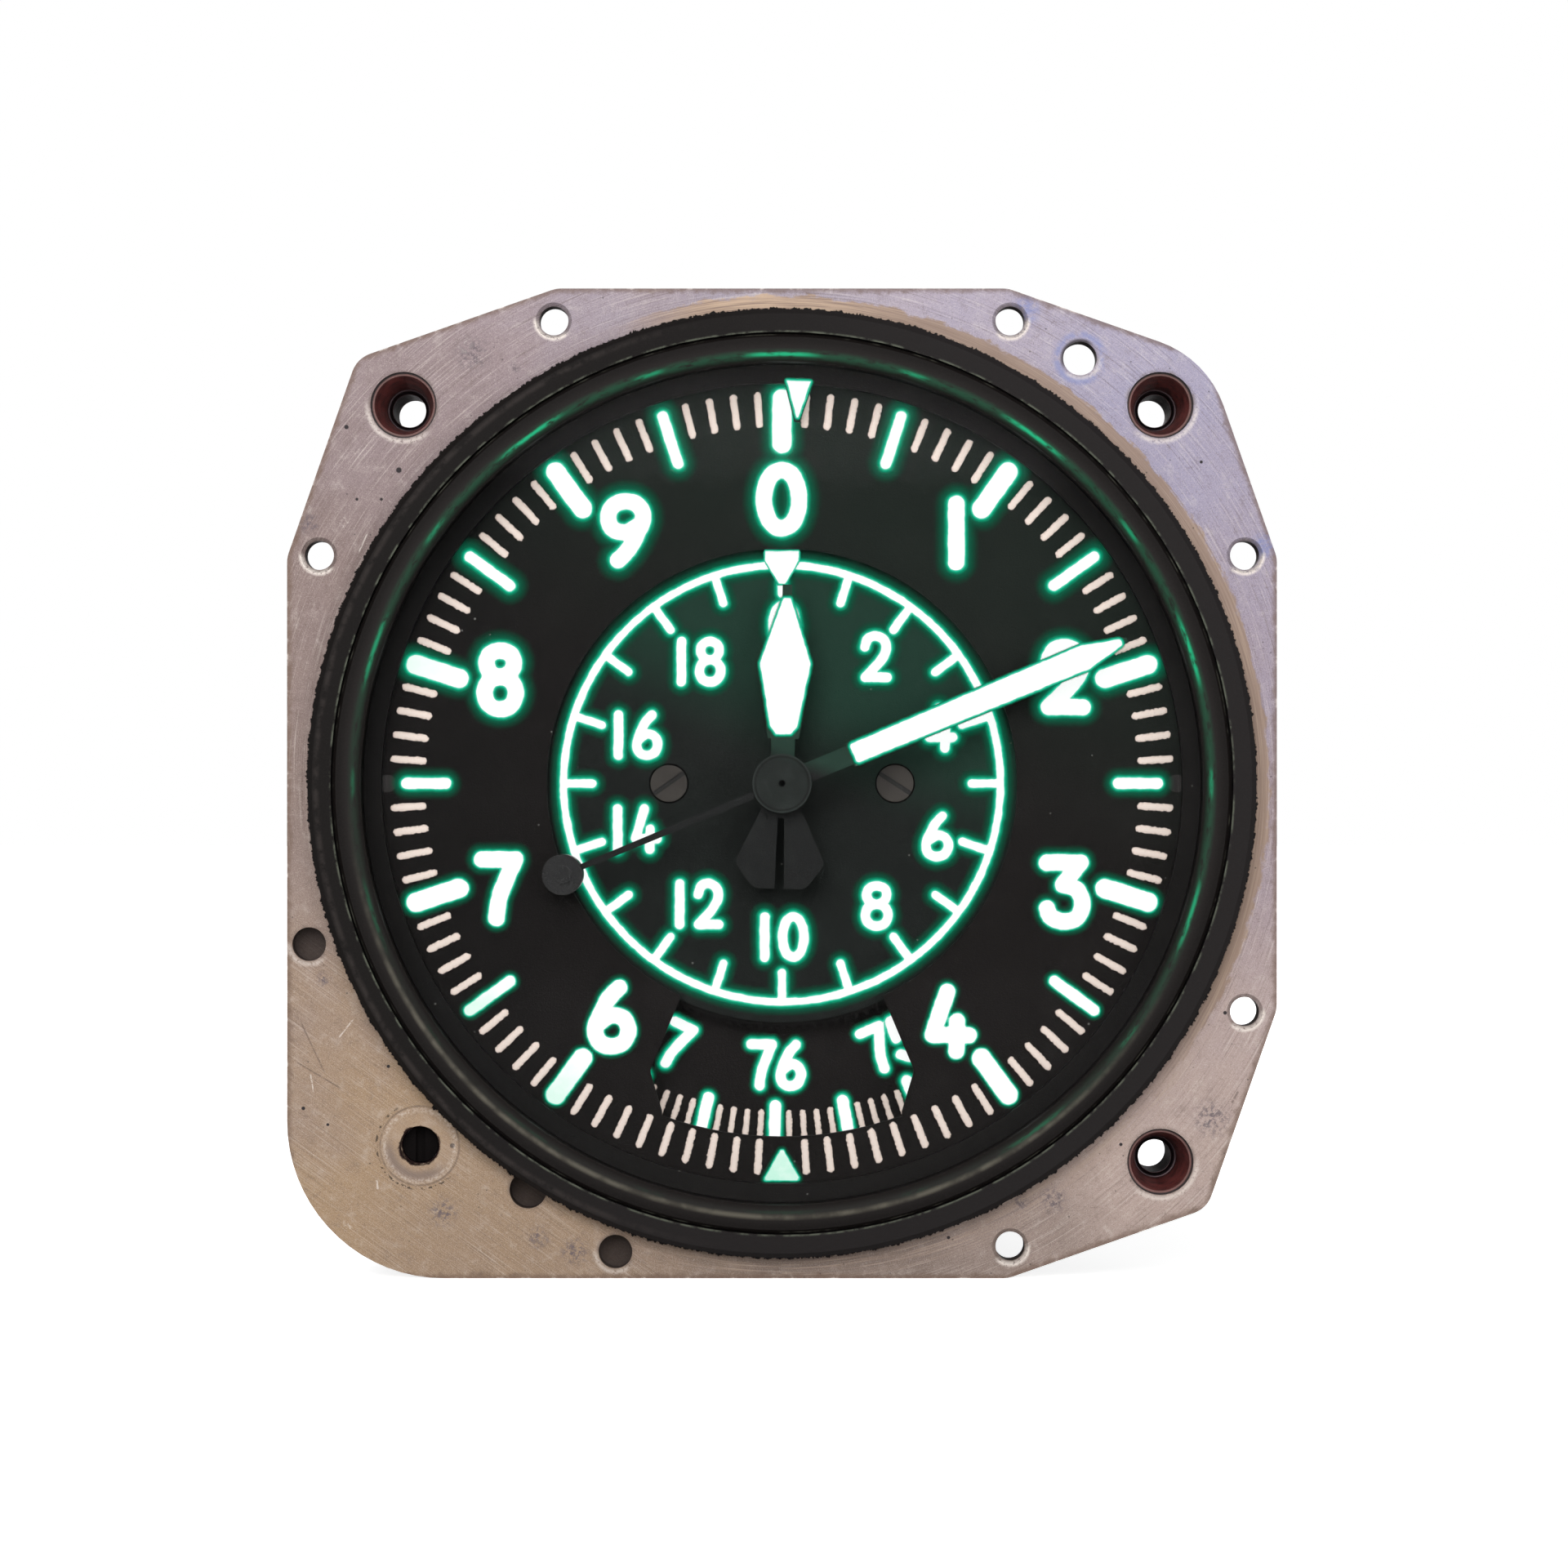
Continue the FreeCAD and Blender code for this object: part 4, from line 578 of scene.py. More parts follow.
@dataclass(frozen=True)
class CastingMetal(Finish):
    """The casting: bare worn flange face, black paint on the spigot, on the back and on the barrel."""

    coat_kind: ClassVar[type[Coat]] = FlangeCoat
    # tone round the bearing; the darker tones at the bottom are painted shade
    tones: tuple[tuple[float, Colour], ...] = (
        (-180.0, srgb(122, 107, 98)), (-155.0, srgb(148, 126, 106)), (-132.0, srgb(155, 130, 103)),
        (-105.0, srgb(141, 123, 114)), (-60.0, srgb(128, 111, 109)), (-32.0, srgb(141, 126, 130)),
        (-6.0, srgb(150, 141, 153)), (14.0, srgb(162, 152, 164)), (45.0, srgb(149, 144, 166)),
        (90.0, srgb(147, 133, 142)), (135.0, srgb(170, 151, 143)), (166.0, srgb(126, 111, 103)),
        (180.0, srgb(122, 107, 98)),
    )
    worn: Colour = srgb(140, 119, 104)
    worn_light: Colour = srgb(162, 141, 124)
    worn_top: Colour = srgb(192, 166, 140)
    pale: Colour = srgb(222, 212, 204)
    dirt: Colour = srgb(96, 82, 76)
    pit: Colour = srgb(50, 46, 48)
    grey: Colour = srgb(98, 89, 94)
    blue: Colour = srgb(112, 124, 172)
    wall: Colour = srgb(62, 54, 52)
    grime: Colour = srgb(106, 86, 74)
    rubbed: Colour = srgb(118, 104, 98)
    residue: Colour = srgb(32, 18, 18)
    paint: Colour = srgb(31, 28, 28)
    paint_left: Colour = srgb(20, 17, 16)
    paint_grain: Colour = srgb(46, 43, 41)
    paint_worn: Colour = srgb(58, 52, 50)
    lip: Colour = srgb(92, 96, 84)
    half_side: float = 42.5
    slant: Place = (0.331, 0.944, 46.54)
    spigot: float = 40.6
    spigot_crest: float = 39.86
    spigot_bore: float = 38.6
    bare_depth: float = 2.6
    spindle: Point = (-31.11, -31.11)
    spindle_edge: Point = (1.66, 1.86)
    scar_pad: Point = (3.2, 3.45)
    scar_rings: tuple[float, float, float, float] = (2.6, 3.05, 3.4, 3.72)
    pin: Point = (25.6, 36.5)
    holes: tuple[Hole, ...] = ()
    pits: tuple[Place, ...] = (
        (-37.4, 30.6, 0.24), (-32.9, 26.9, 0.3), (-36.5, 24.4, 0.16), (-34.4, 24.4, 0.16), (36.0, 27.6, 0.17),
        (39.9, 27.0, 0.15), (-39.0, -29.3, 0.16), (-41.1, -27.9, 0.2), (-33.8, -24.3, 0.18),
        (-28.3, -31.1, 0.26), (29.1, -31.0, 0.18), (38.05, -19.7, 0.2), (14.3, -39.0, 0.18),
    )
    smudges: tuple[Place, ...] = (
        (-26.6, 36.9, 1.7), (-22.9, 35.7, 0.5), (-40.6, 22.3, 1.0), (-20.9, -39.0, 1.1), (-17.8, -40.2, 1.4),
        (-29.1, -36.8, 1.4), (-39.3, -16.8, 0.7), (36.9, -28.8, 1.8), (23.3, -35.8, 1.3), (20.5, -36.0, 0.8),
    )
    rubs: tuple[Place, ...] = (
        (-27.3, 37.6, 0.8), (-37.7, 22.5, 0.7), (-33.8, 24.1, 0.4), (-39.7, 15.2, 0.7), (-37.3, -38.0, 0.6),
    )
    stains: tuple[Place, ...] = ((20.9, 40.5, 1.5), (41.3, 20.4, 1.3))
    scratches: tuple[tuple[Point, Point, float], ...] = (
        ((-35.5, 21.7), (-36.4, 19.7), 0.08), ((-40.5, -24.9), (-40.2, -26.6), 0.08),
        ((-34.8, -34.0), (-34.7, -34.9), 0.11), ((-38.1, -21.9), (-36.7, -20.1), 0.08),
    )
    grooves: tuple[tuple[Point, Point, float], ...] = (
        ((-41.9, -23.8), (-37.7, -26.3), 0.08), ((-41.4, -20.3), (-39.2, -25.0), 0.08),
        ((38.6, -27.5), (39.2, -26.4), 0.12),
    )

    def lay(self, coat: FlangeCoat) -> None:
        """Adds the casting's nodes.

        Args:
            coat: what they are laid on.
        """
        relief = self.bare(coat)
        for step in (self.band, self.edges, self.blemishes, self.rims, self.scar):
            step(coat)
        painted = self.painted(coat)
        bare = 1.0 - painted
        coat.tint(painted, self.black(coat))
        rough_bare = 0.5 + (coat.mottle - 0.5) * 0.25
        rough_paint = 0.55 + (coat.grain - 0.5) * 0.3
        sockets = {
            "Metallic": bare * 0.2,
            "Roughness": rough_bare * bare + rough_paint * painted,
            "Specular IOR Level": 0.08,
        }
        coat.close(sockets, relief * bare + coat.grain * painted, 0.035)

    def black(self, coat: FlangeCoat) -> Field:
        """The black paint's colour, darker towards the left, with painted highlights on the spigot's crest
        and on the lip of its bore.

        Args:
            coat: what it is laid on.

        Returns:
            The colour.
        """
        mix = coat.graph.mix
        left = (coat.z * 0.3 - coat.x).rise(-6.0, 26.0)
        black = mix(left, self.paint, self.paint_left)
        black = mix(coat.grain.rise(0.5, 0.85) * 0.4, black, self.paint_grain)
        # painted highlight on the spigot's crest, on the left
        crest = coat.from_axis.near(self.spigot_crest, 0.4) * (-coat.x).rise(4.0, 20.0)
        black = mix(crest * coat.mottle.rise(0.35, 0.6) * 0.5, black, self.paint_worn)
        # painted highlight on the lip of the spigot's bore
        lip = coat.from_axis.near(self.spigot_bore + 0.04, 0.17) * coat.y.fall(-1.9, -1.5)
        return mix(lip * coat.mottle.rise(0.42, 0.6) * 0.75, black, self.lip)

    def bare(self, coat: FlangeCoat) -> Field:
        """Brushed and turned bare metal, whose tone goes round with the bearing, with painted shade at the
        bottom.

        Args:
            coat: what it is laid on.

        Returns:
            Its relief.
        """
        turn = (coat.bearing + (coat.cloud - 0.5) * 50.0) / 360.0 + 0.5
        coat.colour = coat.graph.ramp(turn, [(bearing / 360 + 0.5, tone) for bearing, tone in self.tones])
        brushed = coat.graph.streaks(coat.place, 36.0, 9.0, 0.07)
        low_left = (coat.x + coat.z).fall(-56.0, -44.0)
        strokes = brushed * low_left + coat.turned * (1.0 - low_left)
        coat.tint(strokes.rise(0.52, 0.74) * 0.32, self.pale)
        coat.tint(strokes.fall(0.28, 0.47) * 0.48, self.dirt)
        coat.tint(coat.mottle.rise(0.5, 0.8) * 0.26, self.pale)
        coat.tint(coat.mottle.fall(0.27, 0.48) * 0.3, self.dirt)
        coat.tint(coat.grain.fall(0.28, 0.47) * 0.42, self.dirt)
        coat.tint(coat.grain.rise(0.54, 0.74) * 0.2, self.pale)
        coat.tint(coat.fine.fall(0.3, 0.5) * 0.3, self.dirt)
        coat.tint(coat.fine.rise(0.5, 0.7) * 0.22, self.pale)
        return coat.mottle * 0.45 + coat.grain * 0.3 + strokes * 0.5

    def band(self, coat: FlangeCoat) -> None:
        """Brown band that wear left next to the spigot, closed on the right, streaky below.

        Args:
            coat: what it is laid on.
        """
        ragged = coat.ring_noise(1.2, 0.35, 4.0, 0.7)
        reach = coat.from_axis - self.spigot + (ragged - 0.5) * 1.8
        closed = reach.fall(1.1, 1.4) * coat.bearing.rise(-24.0, -8.0) * coat.bearing.fall(112.0, 140.0)
        below = coat.bearing.rise(105.0, 130.0) + coat.bearing.fall(-170.0, -150.0)
        streaky = reach.fall(0.8, 3.4) * below * coat.turned.rise(0.44, 0.6)
        tone = coat.graph.mix(coat.turned.rise(0.42, 0.66) * 0.7, self.worn, self.worn_light)
        top = coat.bearing.near(-2.0, 22.0) * coat.turned.rise(0.38, 0.58)
        tone = coat.graph.mix(top * 0.85, tone, self.worn_top)
        coat.tint((closed * 0.9).most(streaky * 0.5), tone)

    def edges(self, coat: FlangeCoat) -> None:
        """Dark grime and pale rubs along the outline.

        Args:
            coat: what they are laid on.
        """
        part, rest, reach = self.slant
        wide, high = abs(coat.x), abs(coat.z)
        first = reach - (wide * part + high * rest)
        second = reach - (wide * rest + high * part)
        round_corner = coat.x.fall(-14.0, -10.0) * coat.z.fall(-14.0, -10.0)
        gap = first.least(second) + round_corner * 30.0
        gap = gap.least(self.half_side - wide).least(self.half_side - high)
        uneven = gap + (coat.mottle - 0.5) * 1.1
        coat.tint(uneven.fall(0.05, 0.6) * 0.65, self.grime)
        coat.tint(gap.fall(0.0, 0.16) * coat.mottle.rise(0.5, 0.65) * 0.6, self.pale)

    def blemishes(self, coat: FlangeCoat) -> None:
        """Pits, smudges, stains, rubs and scratches.

        Args:
            coat: what they are laid on.
        """
        patchy = coat.noise(2.2, 4.0, 0.75)
        coat.tint(coat.spots(self.smudges, 0.2, 1.25) * patchy.rise(0.46, 0.58) * 0.85, self.grey)
        coat.tint(coat.spots(self.stains, 0.35, 1.1) * patchy.rise(0.35, 0.6) * 0.6, self.blue)
        coat.tint(coat.spots(self.rubs, 0.2, 1.2) * patchy.rise(0.52, 0.62) * 0.42, self.pale)
        pinholes = coat.specks(1.5, (0.06, 0.16), (0.86, 0.94)) * 0.6
        coat.tint(coat.spots(self.pits, 0.6, 1.0).most(pinholes), self.pit)
        for scratch in self.scratches:
            coat.tint(coat.line(*scratch) * patchy.rise(0.4, 0.52) * 0.5, self.pale)
        for groove in self.grooves:
            coat.tint(coat.line(*groove) * patchy.rise(0.35, 0.5) * 0.6, self.dirt)

    def rims(self, coat: FlangeCoat) -> None:
        """A darker ring round each hole, part dirt and part painted shade, a painted highlight under it, and
        its walls darkened by dirt and painted shade.

        Args:
            coat: what they are laid on.
        """
        dirt: Value = 0.0
        crescent: Value = 0.0
        inside: Value = 0.0
        for hole_x, hole_z, size, shine in self.holes:
            away = coat.away((hole_x, hole_z)) + (coat.mottle - 0.5) * 0.12
            low = ((coat.x - hole_x) * math.copysign(0.45, hole_x) - (coat.z - hole_z)) / size
            dirt = away.near(size, 0.4).most(dirt)
            crescent = (away.near(size + 0.28, 0.36) * low.rise(0.25, 0.8) * shine).most(crescent)
            inside = away.fall(size + 0.01, size + 0.05).most(inside)
        # darker ring round each hole: part dirt, part painted shade of its chamfer
        coat.tint(dirt * coat.mottle.rise(0.35, 0.65) * 0.65, self.dirt)
        # painted highlight on the chamfer under each hole
        coat.tint(crescent * coat.grain.rise(0.34, 0.5) * 0.95, self.pale)
        pin = coat.away(self.pin)
        coat.tint(pin.near(2.0, 0.55) * coat.mottle.rise(0.38, 0.56) * 0.55, self.blue)
        upper = (self.pin[0] - coat.x) * 0.8 + coat.z - self.pin[1]
        # painted shade on the upper left of the pin hole
        coat.tint(pin.near(1.5, 0.32) * upper.rise(0.0, 1.0) * 0.9, self.pit)
        # hole walls and floors darkened: part dirt, part painted shade
        coat.tint(inside * coat.y.rise(0.25, 0.7) * 0.9, self.wall)

    def scar(self, coat: FlangeCoat) -> None:
        """The ring that the knob wore round its spindle, with painted shade on its lower left, and the
        residue in the spindle's hole.

        Args:
            coat: what they are laid on.
        """
        away = coat.away(self.spindle)
        off_x, off_z = coat.x - self.spindle[0], coat.z - self.spindle[1]
        shade, rub, edge, dots = self.scar_rings
        coat.tint(away.fall(*self.scar_pad) * 0.25, self.worn_light)
        # painted shade on the lower left of the scar
        coat.tint(away.near(shade, 0.8) * (off_x * -0.5 - off_z).rise(0.0, 2.2) * 0.75, self.rubbed)
        coat.tint(away.near(rub, 0.4) * coat.grain.rise(0.4, 0.65) * 0.35, self.pale)
        coat.tint(away.near(edge, 0.15) * coat.mottle.rise(0.3, 0.55) * 0.65, self.dirt)
        broken = coat.graph.noise(coat.flat, 2.4, 2.0).rise(0.5, 0.55)
        left = off_x * -1.0 - off_z * 0.7
        coat.tint(away.near(dots, 0.17) * broken * left.rise(-1.6, 0.6) * 0.85, self.paint)
        coat.tint((away + (coat.mottle - 0.5) * 0.9).fall(*self.spindle_edge), self.residue)

    def painted(self, coat: FlangeCoat) -> Field:
        """Where black paint covers the casting.

        Args:
            coat: what it is laid on.

        Returns:
            1 on paint, 0 on bare metal.
        """
        graph = coat.graph
        teeth = graph.noise(graph.vector(coat.bearing * 1.5, 0.0, 0.0), 1.0, 3.0)
        uneven = (coat.mottle - 0.5) * 0.7
        chipped = coat.from_axis + uneven + (coat.grain - 0.5) * 0.5 + (teeth - 0.5) * 0.7
        front = chipped.fall(self.spigot + 0.17, self.spigot + 0.23)
        return front.most((coat.y + uneven).rise(self.bare_depth, self.bare_depth + 0.15))


@dataclass(frozen=True)
class LumePaint(Finish):
    """Thick luminous paint, white, with a green rim and a painted green glow that fades on what it lies on.
    """

    core: Colour = (0.9, 0.93, 0.92)
    worn: Colour = srgb(126, 228, 190)
    edge: Colour = srgb(44, 206, 168)
    outer: Colour = srgb(0, 146, 106)
    far: Colour = srgb(8, 94, 68)
    body: Colour = (0.25, 0.25, 0.24)
    worn_from: Point = (29.6, 34.2)
    glow: float = 1.3
    full_share: float = 0.23
    even: bool = False

    def lay(self, coat: Coat) -> None:
        """Adds the paint's nodes.

        Args:
            coat: what they are laid on.
        """
        graph = coat.graph
        brushed = coat.noise(1.1, 4.0)
        cloud = coat.noise(0.9, 4.0)
        rim = graph.attribute("rim") + (brushed - 0.5) * 0.2
        outside = graph.away(coat.place, (0.0, 0.0)).rise(*self.worn_from)
        worn = graph.attribute("worn") * (cloud.rise(0.35, 0.6) * 0.25 + outside * 0.85)
        heart = rim.fall(-0.13, -0.02)
        # the painted glow reaches further towards the top unless it is even
        reach = rim if self.even else rim / (coat.z.rise(-30.0, 20.0) * 0.72 + 0.3)
        full = self.glow * self.full_share
        coat.start(reach.rise(-0.02, 0.12), self.edge, self.outer)
        coat.tint(reach.rise(0.1, 0.34), self.far)
        coat.tint(heart, graph.mix(worn, self.core, self.worn))
        fade = (1.0 - (reach - full) / (self.glow - full)).most(0.0).least(1.0) ** 1.6
        sockets = {
            "Base Color": graph.mix(heart * (1.0 - worn * 0.55), BLACK, self.body),
            "Roughness": 0.7,
            "Specular IOR Level": 0.08,
            "Alpha": fade,
            "Emission Color": coat.colour,
            "Emission Strength": 1.0,
        }
        coat.close(sockets, brushed, 0.02)


@dataclass(frozen=True)
class ScalePaint(Finish):
    """Plain pinkish white paint of the fine ticks, put on by hand, thin at its rims, with a faint painted
    glow.
    """

    colour: Colour = srgb(238, 223, 213)
    thin: Colour = srgb(220, 202, 190)
    dirt: Colour = srgb(150, 132, 122)
    whiteness: float = 0.2

    def lay(self, coat: Coat) -> None:
        """Adds the paint's nodes.

        Args:
            coat: what they are laid on.
        """
        ragged = coat.noise(3.6, 4.0, 0.7)
        fine = coat.noise(9.0, 3.0)
        rim = coat.graph.attribute("rim") + (ragged - 0.5) * 0.34
        coat.start(rim.rise(-0.2, 0.0), self.colour, self.thin)
        coat.tint(fine.rise(0.6, 0.82) * 0.4, self.dirt)
        # the emission is painted light that brightens the ticks
        sockets = {
            "Roughness": 0.75,
            "Specular IOR Level": 0.15,
            "Alpha": rim.fall(-0.03, 0.04),
            "Emission Color": coat.colour,
            "Emission Strength": self.whiteness,
        }
        coat.close(sockets, fine + ragged, 0.03)


@dataclass(frozen=True)
class Metal(Finish):
    """Turned or drawn metal with fine marks, a tarnish in patches and dull spots."""

    colour: Colour
    tarnish: Colour
    metallic: float = 1.0
    roughness: float = 0.32
    mark: float = 0.012
    tarnish_share: float = 0.4
    shade_from: float = NOWHERE
    shade: Colour = srgb(16, 13, 12)

    def lay(self, coat: Coat) -> None:
        """Adds the metal's nodes.

        Args:
            coat: what they are laid on.
        """
        graph = coat.graph
        turned = graph.noise(graph.vector(coat.radius() * 6.0, coat.y * 6.0, 0.0), 1.0, 3.0, 0.7)
        cloud = coat.noise(0.25, 4.0)
        spots = coat.noise(1.6, 4.0, 0.7)
        stained = cloud.rise(0.4, 0.75) * self.tarnish_share + spots.rise(0.6, 0.8) * 0.3
        coat.start(stained, self.colour, self.tarnish)
        coat.tint(turned.rise(0.5, 0.8) * 0.18, self.tarnish)
        coat.tint(coat.y.rise(self.shade_from, self.shade_from + 0.04), self.shade)
        roughness = self.roughness + (turned - 0.5) * 0.2 + stained * 0.25
        coat.close({"Metallic": self.metallic, "Roughness": roughness}, turned, self.mark)


@dataclass(frozen=True)
class HandPaint(Finish):
    """Black lacquer, grey where it is worn, with painted green light beside the luminous paint, and painted
    shade and a painted highlight at the hub's edge.
    """

    colour: Colour
    rubbed: Colour
    roughness: float
    specular: float
    rim: float = NOWHERE
    rim_line: Colour = srgb(8, 8, 8)
    dust: Colour = srgb(140, 140, 134)
    lit: Colour = srgb(26, 58, 45)
    lit_from: Point = (1.5, 3.3)
    lit_share: float = 0.0

    def lay(self, coat: Coat) -> None:
        """Adds the lacquer's nodes.

        Args:
            coat: what they are laid on.
        """
        away = coat.radius()
        grain = coat.noise(6.0, 4.0, 0.7)
        cloud = coat.noise(0.6, 3.0)
        coat.start(cloud.rise(0.45, 0.8) * 0.4 + grain.rise(0.55, 0.85) * 0.3, self.colour, self.rubbed)
        # painted green light of the luminous paint, towards the top right
        coat.tint((coat.z + coat.x * 0.35).rise(*self.lit_from) * self.lit_share, self.lit)
        # painted shade line inside the hub's edge
        coat.tint(away.near(self.rim - 0.32, 0.13) * 0.85, self.rim_line)
        # painted highlight on the hub's outer edge
        coat.tint(away.rise(self.rim - 0.22, self.rim - 0.1) * 0.6, self.rubbed)
        coat.tint(coat.specks(1.4, (0.05, 0.12), (0.93, 0.98)) * 0.6, self.dust)
        sockets = {"Roughness": self.roughness + (grain - 0.5) * 0.2, "Specular IOR Level": self.specular}
        coat.close(sockets, grain, 0.015)


@dataclass(frozen=True)
class Fibre(Finish):
    """Red-brown vulcanised fibre, greyish on its turned lip, with painted shade at its outer edge by the gap.
    """

    colour: Colour = srgb(112, 54, 51)
    dark: Colour = srgb(66, 30, 29)
    lip: Colour = srgb(126, 98, 92)
    line: Colour = srgb(26, 15, 15)
    lip_place: float = 0.6
    corner: float = 32.5
    gap: float = 2.76

    def lay(self, coat: Coat) -> None:
        """Adds the fibre's nodes.

        Args:
            coat: what they are laid on.
        """
        graph = coat.graph
        away = graph.away(graph.vector(abs(coat.x), 0.0, abs(coat.z)), (self.corner, self.corner))
        strand = graph.streaks(coat.place, 20.0, 2.5, 0.16)
        coat.start(coat.noise(0.9, 4.0).rise(0.35, 0.7), self.colour, self.dark)
        coat.tint(strand.rise(0.55, 0.8) * 0.4, self.lip)
        coat.tint(coat.y.fall(self.lip_place, self.lip_place + 0.35) * 0.55, self.lip)
        # painted shade of the gap round the collar
        coat.tint(away.rise(self.gap - 0.14, self.gap), self.line)
        sockets = {"Roughness": 0.5 + (strand - 0.5) * 0.3, "Specular IOR Level": 0.35}
        coat.close(sockets, strand, 0.05)


@dataclass(frozen=True)
class Thread(Finish):
    """Dark steel with the turns of a thread along Y, stained red-brown, with painted shade in the grooves."""

    colour: Colour = srgb(92, 78, 82)
    groove: Colour = srgb(44, 24, 24)
    pitch: float = 0.6
    depth: float = 0.2

    def lay(self, coat: Coat) -> None:
        """Adds the steel's nodes.

        Args:
            coat: what they are laid on.
        """
        turn = coat.graph.maths("SINE", coat.y * (2 * math.pi / self.pitch)) * 0.5 + 0.5
        cloud = coat.noise(1.2, 4.0)
        # painted shade in the thread's grooves
        coat.start(turn.fall(0.1, 0.7) * 0.8 + cloud * 0.2, self.colour, self.groove)
        coat.close({"Metallic": 0.7, "Roughness": 0.45 + (cloud - 0.5) * 0.3}, turn, self.depth)


@dataclass(frozen=True)
class SoftSeal(Finish):
    """Black rubber or oiled felt with a powdery bloom."""

    colour: Colour = srgb(34, 33, 32)
    bloom: Colour = srgb(74, 73, 70)

    def lay(self, coat: Coat) -> None:
        """Adds the seal's nodes.

        Args:
            coat: what they are laid on.
        """
        grain = coat.noise(5.0, 4.0, 0.7)
        coat.start(coat.noise(0.5, 3.0).rise(0.4, 0.75) * 0.6 + grain * 0.15, self.colour, self.bloom)
        coat.close({"Roughness": 0.85 + (grain - 0.5) * 0.2, "Specular IOR Level": 0.2}, grain, 0.02)


@dataclass(frozen=True)
class CoverGlass(Finish):
    """Clear flat glass that shows itself at a slant, with a few specks of dust."""

    colour: Colour = (0.01, 0.012, 0.012)
    dust: Colour = srgb(160, 160, 156)
    film: float = 0.02

    def lay(self, coat: Coat) -> None:
        """Adds the glass's nodes.

        Args:
            coat: what they are laid on.
        """
        graph = coat.graph
        speck = coat.specks(0.6, (0.03, 0.07), (0.94, 0.98))
        film = coat.noise(0.2, 4.0).rise(0.5, 0.8)
        slant = graph.node("ShaderNodeFresnel", sockets={"IOR": 1.45})
        sockets = {
            "Base Color": graph.mix(speck, self.colour, self.dust),
            "Roughness": 0.04 + film * 0.05,
            "Alpha": slant * slant * 1.5 + self.film + film * 0.01 + speck * 0.3,
        }
        graph.output(graph.node("ShaderNodeBsdfPrincipled", sockets=sockets))


@dataclass(frozen=True)
class PaleFloor(Finish):
    """Plain white floor that keeps the object's shadow."""

    own_light: float = 1.2
    close: Colour = (0.7, 0.7, 0.7)
    open_from: Point = (180.0, 900.0)
    dull: tuple[Colour, Colour] = ((0.8, 0.8, 0.8), (0.84, 0.84, 0.84))

    def lay(self, coat: Coat) -> None:
        """Adds the floor's nodes.

        Args:
            coat: what they are laid on.
        """
        graph = coat.graph
        seen, _ = ray_kinds(graph)
        away = (coat.x * coat.x + coat.y * coat.y) ** 0.5
        white = graph.mix(away.rise(*self.open_from), self.close, WHITE)
        tone = graph.mix(coat.noise(0.002, 2.0), *self.dull)
        glow = graph.node("ShaderNodeEmission", sockets={"Color": white, "Strength": seen * self.own_light})
        matt = graph.node("ShaderNodeBsdfDiffuse", sockets={"Color": tone})
        graph.output(graph.node("ShaderNodeAddShader", sockets={0: glow, 1: matt}))


def ray_kinds(graph: Graph) -> tuple[Field, Field]:
    """1 on rays straight from the camera, and 1 on rays off gloss."""
    path = graph.node("ShaderNodeLightPath", output="Is Camera Ray")
    return path, Field(graph, path.socket.node.outputs["Is Glossy Ray"])


# Painted marks


CURVE_STEPS = 6


class Run(Enum):
    """How a stroke of a figure runs through its points."""

    STRAIGHT = "straight"
    CURVED = "curved"
    CLOSED = "closed"


def drawn_path(points: Sequence[Point], run: Run) -> np.ndarray:
    """Draws a line through a few points.

    Args:
        points: the points, in hundredths of the figure's width and height.
        run: how the line runs through them.

    Returns:
        Points on the line, as shares of the width and height.
    """
    given = np.array(points, float) / 100
    if run is Run.STRAIGHT:
        return given
    before, after = (given[-1:], given[:2]) if run is Run.CLOSED else (given[:1], given[-1:])
    around = np.vstack([before, given, after])
    spans = len(around) - 3
    a, b, c, d = (around[first : first + spans, None] for first in range(4))
    share = np.linspace(0.0, 1.0, CURVE_STEPS + 1)[:-1, None]
    bend = 2 * b + (c - a) * share
    bend = bend + (2 * a - 5 * b + 4 * c - d) * share**2
    bend = bend + (3 * b - a - 3 * c + d) * share**3
    return np.vstack([(bend / 2).reshape(-1, 2), around[spans + 1]])


def line_distance(at: np.ndarray, path: np.ndarray) -> np.ndarray:
    """Distance from points to a line of straight runs.

    Args:
        at: the points.
        path: the line's own points.

    Returns:
        One distance for each point.
    """
    best = np.full(len(at), np.inf)
    for start, end in zip(path[:-1], path[1:]):
        run = end - start
        size = float(run @ run)
        share = np.clip((at - start) @ run / size, 0.0, 1.0) if size else np.zeros(len(at))
        off = at - start - share[:, None] * run
        best = np.minimum(best, np.hypot(off[:, 0], off[:, 1]))
    return best


@dataclass
class Stroke:
    """A painted line with round ends, which reaches half its width from its path."""

    path: np.ndarray
    reach: float
    worn: float = 0.0

    def distance(self, at: np.ndarray) -> np.ndarray:
        """Distance outside the paint's edge, negative inside it."""
        return line_distance(at, self.path) - self.reach

    def box(self) -> tuple[np.ndarray, np.ndarray]:
        """Lowest and highest corner."""
        return self.path.min(0) - self.reach, self.path.max(0) + self.reach


@dataclass
class Patch(Stroke):
    """A painted area whose rounded corners reach out from the corners of its path."""

    def distance(self, at: np.ndarray) -> np.ndarray:
        """Distance outside the paint's edge, negative inside it.

        Args:
            at: the points.

        Returns:
            One distance for each point.
        """
        ring = np.vstack([self.path, self.path[:1]])
        inside = np.zeros(len(at), bool)
        for (x0, z0), (x1, z1) in zip(ring[:-1], ring[1:]):
            if z0 == z1:
                continue
            crosses = (z0 > at[:, 1]) != (z1 > at[:, 1])
            inside ^= crosses & (at[:, 0] < (x1 - x0) * (at[:, 1] - z0) / (z1 - z0) + x0)
        gap = line_distance(at, ring)
        return np.where(inside, -gap, gap) - self.reach


